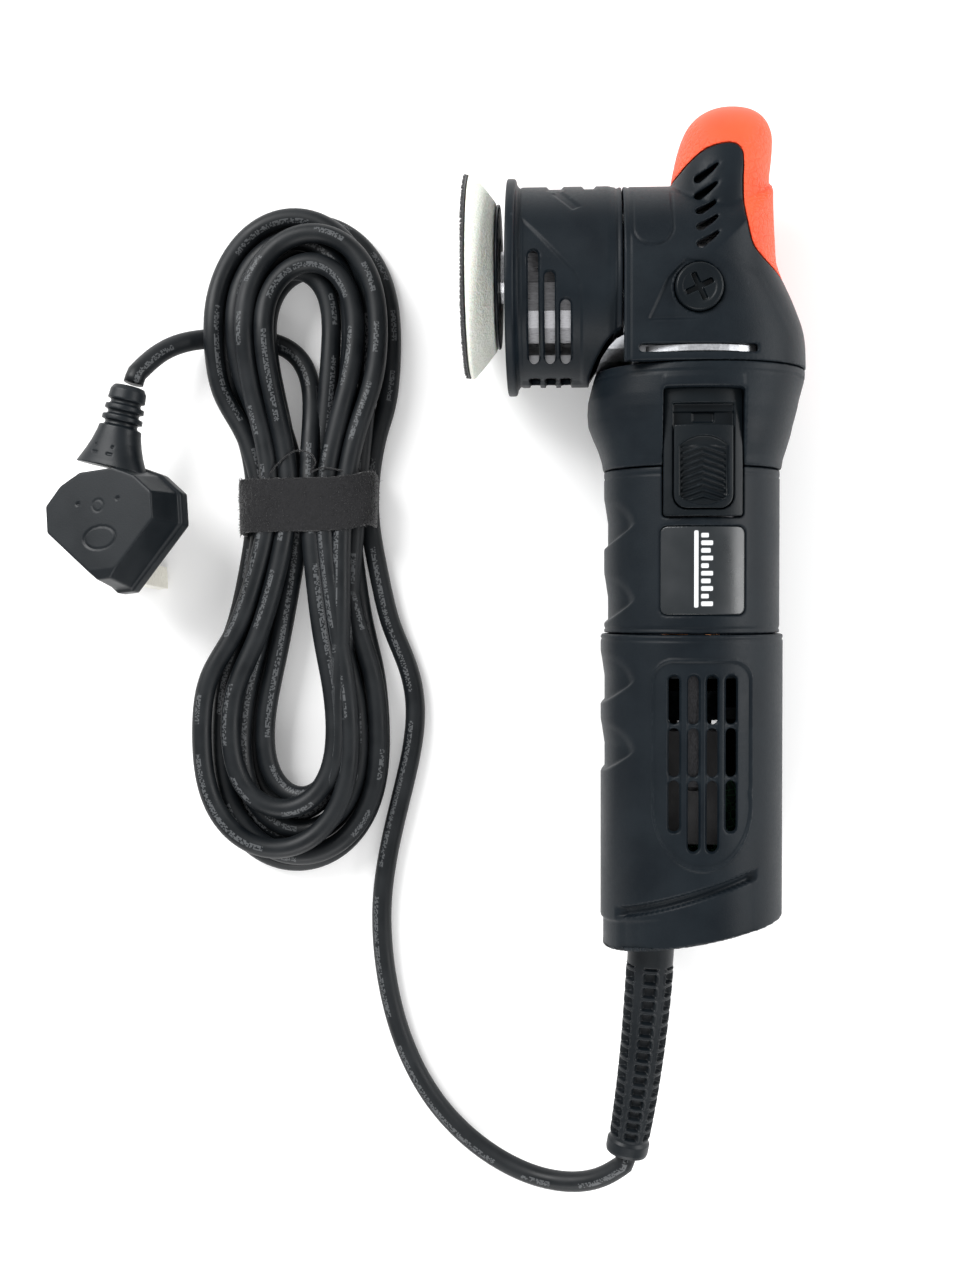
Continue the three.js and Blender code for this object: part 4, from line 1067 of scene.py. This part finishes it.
def build_strap():
    """A band of hook-and-loop round the waist of the hank, with fuzz standing off it and a loose thread."""
    low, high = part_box("hank_strap")
    low, high = np.array(low) / MM, np.array(high) / MM
    middle = (low + high) / 2
    half_x, half_z = (high[0] - low[0]) / 2 - 0.3, (high[2] - low[2]) / 2
    rows, sides = 36, 220
    angle = np.linspace(0, 2 * math.pi, sides, endpoint=False)
    shape_x, shape_z = squared_circle(5.0, sides)
    turns = []
    across = np.linspace(-1, 1, rows)
    slant = 1.6 * np.cos(angle) + 0.5 * np.sin(3 * angle)
    for face, thin in ((across, 0.0), (across[::-1], 1.5)):
        for w in face:
            waves = 0.35 * np.sin(4 * angle + 2 * w) + RNG.normal(0, 0.16, sides)
            swell = (waves - 0.5 * w ** 4) * (thin == 0) * 0.6
            x = middle[0] + (half_x - thin + swell) * shape_x
            z = middle[2] + np.maximum(-half_z, (half_z - thin + swell) * shape_z)
            y = middle[1] + w * 9.6 + slant + RNG.normal(0, 0.12, sides) * (abs(w) > 0.9)
            turns.append(np.stack([x, y, np.clip(z, 0.1, None)], 1))
    turns.append(turns[0])
    faces = grid_faces(len(turns), sides, caps=False)
    skin_points = np.concatenate(turns)
    mesh = face_out(mesh_from("strap", skin_points * MM, faces))
    strap = new_piece("strap_band", mesh, "strap", "housing", "hook_pile", "hank_strap")
    build_fuzz(turns[:rows], middle)
    build_thread(middle, half_z)
    return strap


def build_fuzz(rows, middle):
    """Thin fibres standing off the strap's outer face and its two edges."""
    points = np.stack(rows)
    vertices, faces = [], []
    for _ in range(9000):
        i, j = RNG.integers(0, points.shape[0]), RNG.integers(0, points.shape[1])
        base = points[i, j]
        out = np.array([base[0] - middle[0], 0, (base[2] - middle[2]) * 3])
        out /= np.linalg.norm(out) + 1e-6
        edge = (i in (0, points.shape[0] - 1)) * np.sign(base[1] - middle[1])
        way = out * RNG.uniform(0.2, 0.7) + np.array([0, edge * 1.0, 0]) + RNG.normal(0, 0.45, 3)
        tip = base + way * RNG.uniform(0.5, 1.1)
        tip[2] = max(tip[2], 0.15)
        wide = RNG.normal(0, 0.05, 3)
        start = len(vertices)
        vertices += [base - wide, base + wide, tip]
        faces.append((start, start + 1, start + 2))
    mesh = mesh_from("fuzz", np.array(vertices) * MM, faces)
    new_piece("strap_fuzz", mesh, "strap", "housing", "hook_pile")


def build_thread(middle, half_z):
    """A loose loop of thread above the strap."""
    top = middle[2] + half_z
    route = [(-14, 9, top - 1.2), (-10, 14, top - 0.6), (-4, 18.5, top - 0.4), (1.5, 18, top - 0.2),
             (4, 14.5, top + 0.1), (2, 11, top + 0.2), (7, 12.5, top), (16, 11, top - 1.5)]
    path = spline([(middle[0] + x, middle[1] + y, z) for x, y, z in route], 0.5)
    new_piece("strap_thread", tube("thread", path * MM, 0.28 * MM, 8), "strap", "housing", "hook_pile")


PLUG = {"x": -182.4, "y": 8.5, "tilt": -5.2, "roll": -15, "turn": 6}
NECK_TURN = -18
NECK_ROWS = [(14.6, 13.6, 8.9), (16.5, 12.6, 8.6), (20, 10.6, 8.2), (23.5, 9.0, 7.8), (27.4, 7.7, 7.4),
             (29.2, 7.4, 7.2), (29.7, 5.7, 5.7), (31.1, 5.6, 5.6), (31.5, 7.1, 7), (33.2, 7, 7),
             (33.6, 5.4, 5.4), (34.9, 5.4, 5.4), (35.3, 6.8, 6.8), (37, 6.7, 6.7), (37.4, 5.2, 5.2),
             (38.7, 5.2, 5.2), (39.1, 6.5, 6.5), (42.6, 6.2, 6.2), (44.2, 5.2, 5.2), (44.4, 4.4, 4.4)]


def plug_frame():
    """The matrix from the plug's millimetres to the row frame. Its origin is midway between the line pins."""
    turn = (Matrix.Rotation(math.radians(PLUG["turn"]), 4, "Z")
            @ Matrix.Rotation(math.radians(PLUG["roll"]), 4, "Y")
            @ Matrix.Rotation(math.radians(PLUG["tilt"]), 4, "X"))
    tips = [Vector((x, y, -22.7)) for x in (-2, 2) for y in (-26.2, -18.2)]
    tips += [Vector((-11.1 + x, y, -17.7)) for x in (-2, 2) for y in (-3.175, 3.175)]
    lift = -min((turn @ tip).z for tip in tips)
    return Matrix.Scale(MM, 4) @ Matrix.Translation((PLUG["x"], PLUG["y"], lift)) @ turn


def plug_outline(inset):
    """The body's outline with round corners, drawn inwards by inset."""
    right = [(3, -30), (24.8, -8.2), (24.8, 3), (17.5, 10.5), (8, 15)]
    corners = [*right, *[(-x, y) for x, y in reversed(right)]]
    middle = np.array((0, -5.0))
    return [tuple(middle + (np.array(c) - middle) * (1 - inset / 22)) for c in corners]


def build_plug():
    frame_matrix = plug_frame()
    flange = prism("z", plug_outline(0), 0, 5.4)
    upper = [(x, y, 5.0) for x, y in plug_outline(0.9)] + [(x, y, 20.0) for x, y in plug_outline(3.2)]
    crown = face_out(mesh_from("crown", np.array(upper), grid_faces(2, 10)))
    slope = prism("x", [(-40, 15), (-20, 21), (-40, 21)], -30, 30)
    sockets = [box(x - 2.3, x + 2.3, -3.5, 3.5, -1, 0.6) for x in (11.1, -11.1)]
    body = soften(cut(join(flange, crown), slope, *sockets), 0.4, 8)

    def relief(x, y, z, normal):
        """A shallow oval ring, two screw-like dots and the parting line."""
        up = np.clip(normal[:, 2] * 3 - 1.8, 0, 1)
        ring = inside(np.abs(np.hypot(x / 6.2, (y + 12) / 4.0) * 5 - 5) - 0.22, 0.5) * 0.5
        centre = inside(np.abs(np.hypot(x, y + 0.5) - 2.1) - 0.15, 0.4) * 0.3
        dots = sum(inside(np.hypot(x - a, y - 1) - 0.55, 0.5) for a in (-8, 8)) * 0.6
        edge = inside(np.abs(z - 5.3) - 0.3, 0.5) * (np.abs(normal[:, 2]) < 0.6) * 0.3
        return up * (ring + centre + dots) + edge
    emboss(body, relief).transform(frame_matrix)
    plug = new_piece("plug_shell", body, "rubber", "housing", "cord_rubber", "plug_body")
    rows = []
    for low, high in zip(NECK_ROWS[:-1], NECK_ROWS[1:]):
        rows += [tuple(low[k] + (high[k] - low[k]) * t for k in range(3)) for t in (0, 0.5)]
    rows.append(NECK_ROWS[-1])
    neck = soften(oval_skin([(y, 0, wide, deep) for y, wide, deep in rows], 2.2, 96), 0.3, 2)
    bend = (Matrix.Translation((0, 15, 9.2)) @ Matrix.Rotation(math.radians(NECK_TURN), 4, "Z")
            @ Matrix.Translation((0, -15, 0)))

    def marks(x, y, z, normal):
        """Two dots and two short bars moulded on the neck."""
        up = np.clip(normal[:, 2] * 3 - 1.5, 0, 1)
        field = sum(inside(np.hypot(x - a, y - 21.5) - 0.5, 0.4) for a in (-3.5, 3.5))
        field = field + sum(inside(round_box(x, y, a - 1.2, a + 1.2, 18.4, 19.2, 0.3), 0.4) for a in (-3, 3))
        return 0.4 * up * field
    neck = emboss(neck, marks)
    neck.transform(frame_matrix @ bend)
    relief_piece = new_piece("plug_neck", neck, "rubber", "housing", "cord_rubber", "plug_relief")
    return [plug, relief_piece]


# ---- Inner pieces that stay as CAD nodes ----

NODE_LOOKS = {
    "weight": ("counterweight",),
    "bright": ("orbit_bearing", "bearing_circlip", "spindle", "plate_bolt"),
    "steel": ("orbit_shaft", "ring_gear", "armature_shaft", "bevel_pinion", "spindle_bearing_upper",
              "spindle_bearing_lower", "armature_bearing_front", "shroud_screw_1", "shroud_screw_2"),
    "dark_steel": ("armature_bearing_rear", "armature_core", "stator_core", "switch_link"),
    "cast": ("gear_case", "bearing_retainer"),
    "copper": ("winding_front", "winding_rear", "commutator", "field_coil_left", "field_coil_right"),
    "carbon": ("carbon_brush_left", "carbon_brush_right", "switch_block"),
    "board": ("speed_module",),
    "pin": ("pin_live", "pin_neutral", "pin_earth"),
    "smooth_black": ("cooling_fan", "baffle_ring", "brush_carrier", "bearing_bridge", "speed_dial",
                     "cord_clamp"),
}


def dress_nodes():
    for look, names in NODE_LOOKS.items():
        for name in names:
            node = frame["nodes"][name]
            node.data.materials.clear()
            node.data.materials.append(MATERIALS[look])
            bevel = node.modifiers.new("bevel", "BEVEL")
            bevel.width, bevel.segments = 0.25 * MM, 2
            bevel.limit_method, bevel.angle_limit = "ANGLE", math.radians(35)


# ---- Cord: free run, hank and lead as one cable ----

CORD_RADIUS = 3.6
LAYER_STEP = 6.3
FLOOR_Z = 3.7
# The same routes as the CAD's, in millimetres of the row frame.
FREE_ROUTE = [
    (-2.5, -220.6, 22), (-3.5, -224.6, 21.4), (-8, -229.9, 19.7), (-15, -232.9, 17), (-26.5, -234.2, 13),
    (-40, -232, 8.8), (-58, -222.5, 5.2), (-73.7, -206.4, 3.8), (-84.7, -184.7, 3.7), (-90.2, -162.6, 3.7),
    (-92.1, -144.2, 3.7), (-91.7, -130, 3.7), (-88.4, -111.1, 3.7), (-83.4, -91, 3.7), (-79.6, -74, 3.7),
    (-78.8, -59.6, 3.7), (-82, -46, 3.7), (-86, -38.5, 3.7), (-89, -34, 3.8),
]
LEAD_ROUTE = [
    (-178.4, 53.9, 27.6), (-177.4, 57.5, 26.8), (-175.3, 61.5, 24.5), (-171.8, 66.6, 19.5),
    (-166.6, 71.2, 12.6), (-160.6, 73.6, 7.2), (-155.2, 74.3, 4.6),
]
WAIST = (-117.7, 11.5)
TOP = {"x": -120.0, "y": 118.5, "flare": 44.0}
BOTTOM = {"x": -124.0, "y": -121.5, "flare": -36.0}
SQUEEZE = 0.955
# One row for each turn: layer, place across the waist in cable widths, half width of its top and bottom
# loop, how far each loop stops short of the outermost one, and how far each loop leans sideways.
TURNS = [
    (0, 3.0, 30.6, 31.4, 1, 0, 1.5, 0.5),
    (0, 2.0, 23.2, 23.9, 9, 9, 1.5, 0.5),
    (0, 1.0, 15.8, 16.4, 17, 18, 1.5, 0.5),
    (1, 2.5, 29.0, 29.4, 0, 3, -3.6, 2.6),
    (1, 1.5, 21.6, 22.0, 8, 12, -3.4, 3.0),
    (1, 0.5, 14.0, 14.4, 18, 24, -3.0, 3.6),
    (2, 1.9, 24.4, 27.4, 7, 6, 4.2, -5.0),
    (2, 0.9, 16.8, 19.6, 17, 20, 3.6, -2.4),
]
LEAD_CROSSING_Y = 74.4


def over_lead(x, y, z):
    """The left strands ride over the lead where it leaves the hank."""
    hump = math.exp(-((y - LEAD_CROSSING_Y) / 15.0) ** 2)
    return (x, y, z + 6.6 * hump if x < -121 else z)


def loop_points(end, turn_side, across_in, across_out, z_in, z_out, half, short, lean):
    """A loop at one end: along the side it comes in by, round the tip and back along the other side."""
    waist_x, waist_y = WAIST
    way = 1 if end["y"] > waist_y else -1
    tip = end["y"] - way * short
    middle = end["x"] + lean
    shares = ((0.5, None), (0.93, 2.4), (1.0, 1.35), (0.88, 0.66), (0.52, 0.18))

    def side(sign, across, z):
        points = []
        start, wide = waist_x + sign * across, middle + sign * half
        for reach, back in shares:
            if back is None:
                points.append((start + (wide - start) * reach, end["flare"], z))
            else:
                points.append((middle + sign * half * reach, tip - way * half * back, z))
        return points
    coming = side(turn_side, across_in, z_in)
    going = side(-turn_side, across_out, z_out)
    return [*coming, (middle, tip, (z_in + z_out) / 2), *reversed(going)]


def cord_route():
    """The whole cable's points, from the boot to the plug."""
    waist_x, waist_y = WAIST
    points = [*FREE_ROUTE, (-91.4, -20, 4.4)]
    for i, turn in enumerate(TURNS):
        layer, place, top_half, bottom_half, top_short, bottom_short, top_lean, bottom_lean = turn
        after = TURNS[min(i + 1, len(TURNS) - 1)]
        last = i == len(TURNS) - 1
        across = place * 2 * CORD_RADIUS * SQUEEZE
        across_after = 0 if last else after[1] * 2 * CORD_RADIUS * SQUEEZE
        z, z_after = FLOOR_Z + LAYER_STEP * layer, FLOOR_Z + LAYER_STEP * after[0]
        points.append((waist_x + across, waist_y, z))
        points += loop_points(TOP, 1, across, across, z, z, top_half, top_short, top_lean)
        points.append((waist_x - across, waist_y, z))
        points += loop_points(BOTTOM, -1, across, across_after, z, z_after, bottom_half, bottom_short,
                              bottom_lean)
    points += [(waist_x + 0.5, waist_y, 15.5), (waist_x + 1, 36, 13), (waist_x + 1, 54, 7.5),
               (waist_x - 3, 67, 4.2), (waist_x - 12, 73, FLOOR_Z)]
    points += reversed(LEAD_ROUTE)
    return [over_lead(*point) if 60 < point[1] < 90 and i < len(points) - 10 else point
            for i, point in enumerate(points)]


def smoothed(path, rounds):
    """The path with small kinks eased out. Its two ends stay where they are."""
    path = path.copy()
    for _ in range(rounds):
        path[3:-3] += 0.5 * ((path[2:-4] + path[4:-2]) / 2 - path[3:-3])
    return path


def mark_cable(mesh, path):
    """Writes where each point lies along the cable and round it, for the printed marks."""
    co = mesh_arrays(mesh)[0] / MM
    tree = KDTree(len(path))
    for i, p in enumerate(path):
        tree.insert(p, i)
    tree.balance()
    nearest = np.array([tree.find(c)[1] for c in co])
    gone = path_distances(path)
    outward = co - path[nearest]
    tangent = path_tangent(path)
    level = np.cross(tangent, (0, 0, 1.0))
    level /= np.linalg.norm(level, axis=1)[:, None]
    top = np.cross(level, tangent)
    angle = np.arctan2((outward * level[nearest]).sum(1), (outward * top[nearest]).sum(1))
    drift = 0.55 * np.sin(gone[nearest] / 95.0)
    write_values(mesh, "along", gone[nearest] * MM)
    write_values(mesh, "around", angle + drift)


def build_cord():
    path = smoothed(spline(cord_route(), 2.0), 40)
    mesh = tube("cord_cable", path * MM, CORD_RADIUS * MM, 20)
    mark_cable(mesh, path)
    cable = new_piece("cord_cable", mesh, "cable", "housing", "cord_rubber",
                      "cord_free", "cord_hank", "cord_lead")
    return cable, path


# ---- Putting it together ----

add_camera()
add_studio()
add_table()
cable, cable_path = build_cord()
build_head()
build_shroud()
build_fan_housing()
build_motor_housing()
build_badge()
build_rear_cover()
build_switch()
build_side_screws()
build_plate()
boot = build_boot()
strap = build_strap()
plug_pieces = build_plug()
dress_nodes()
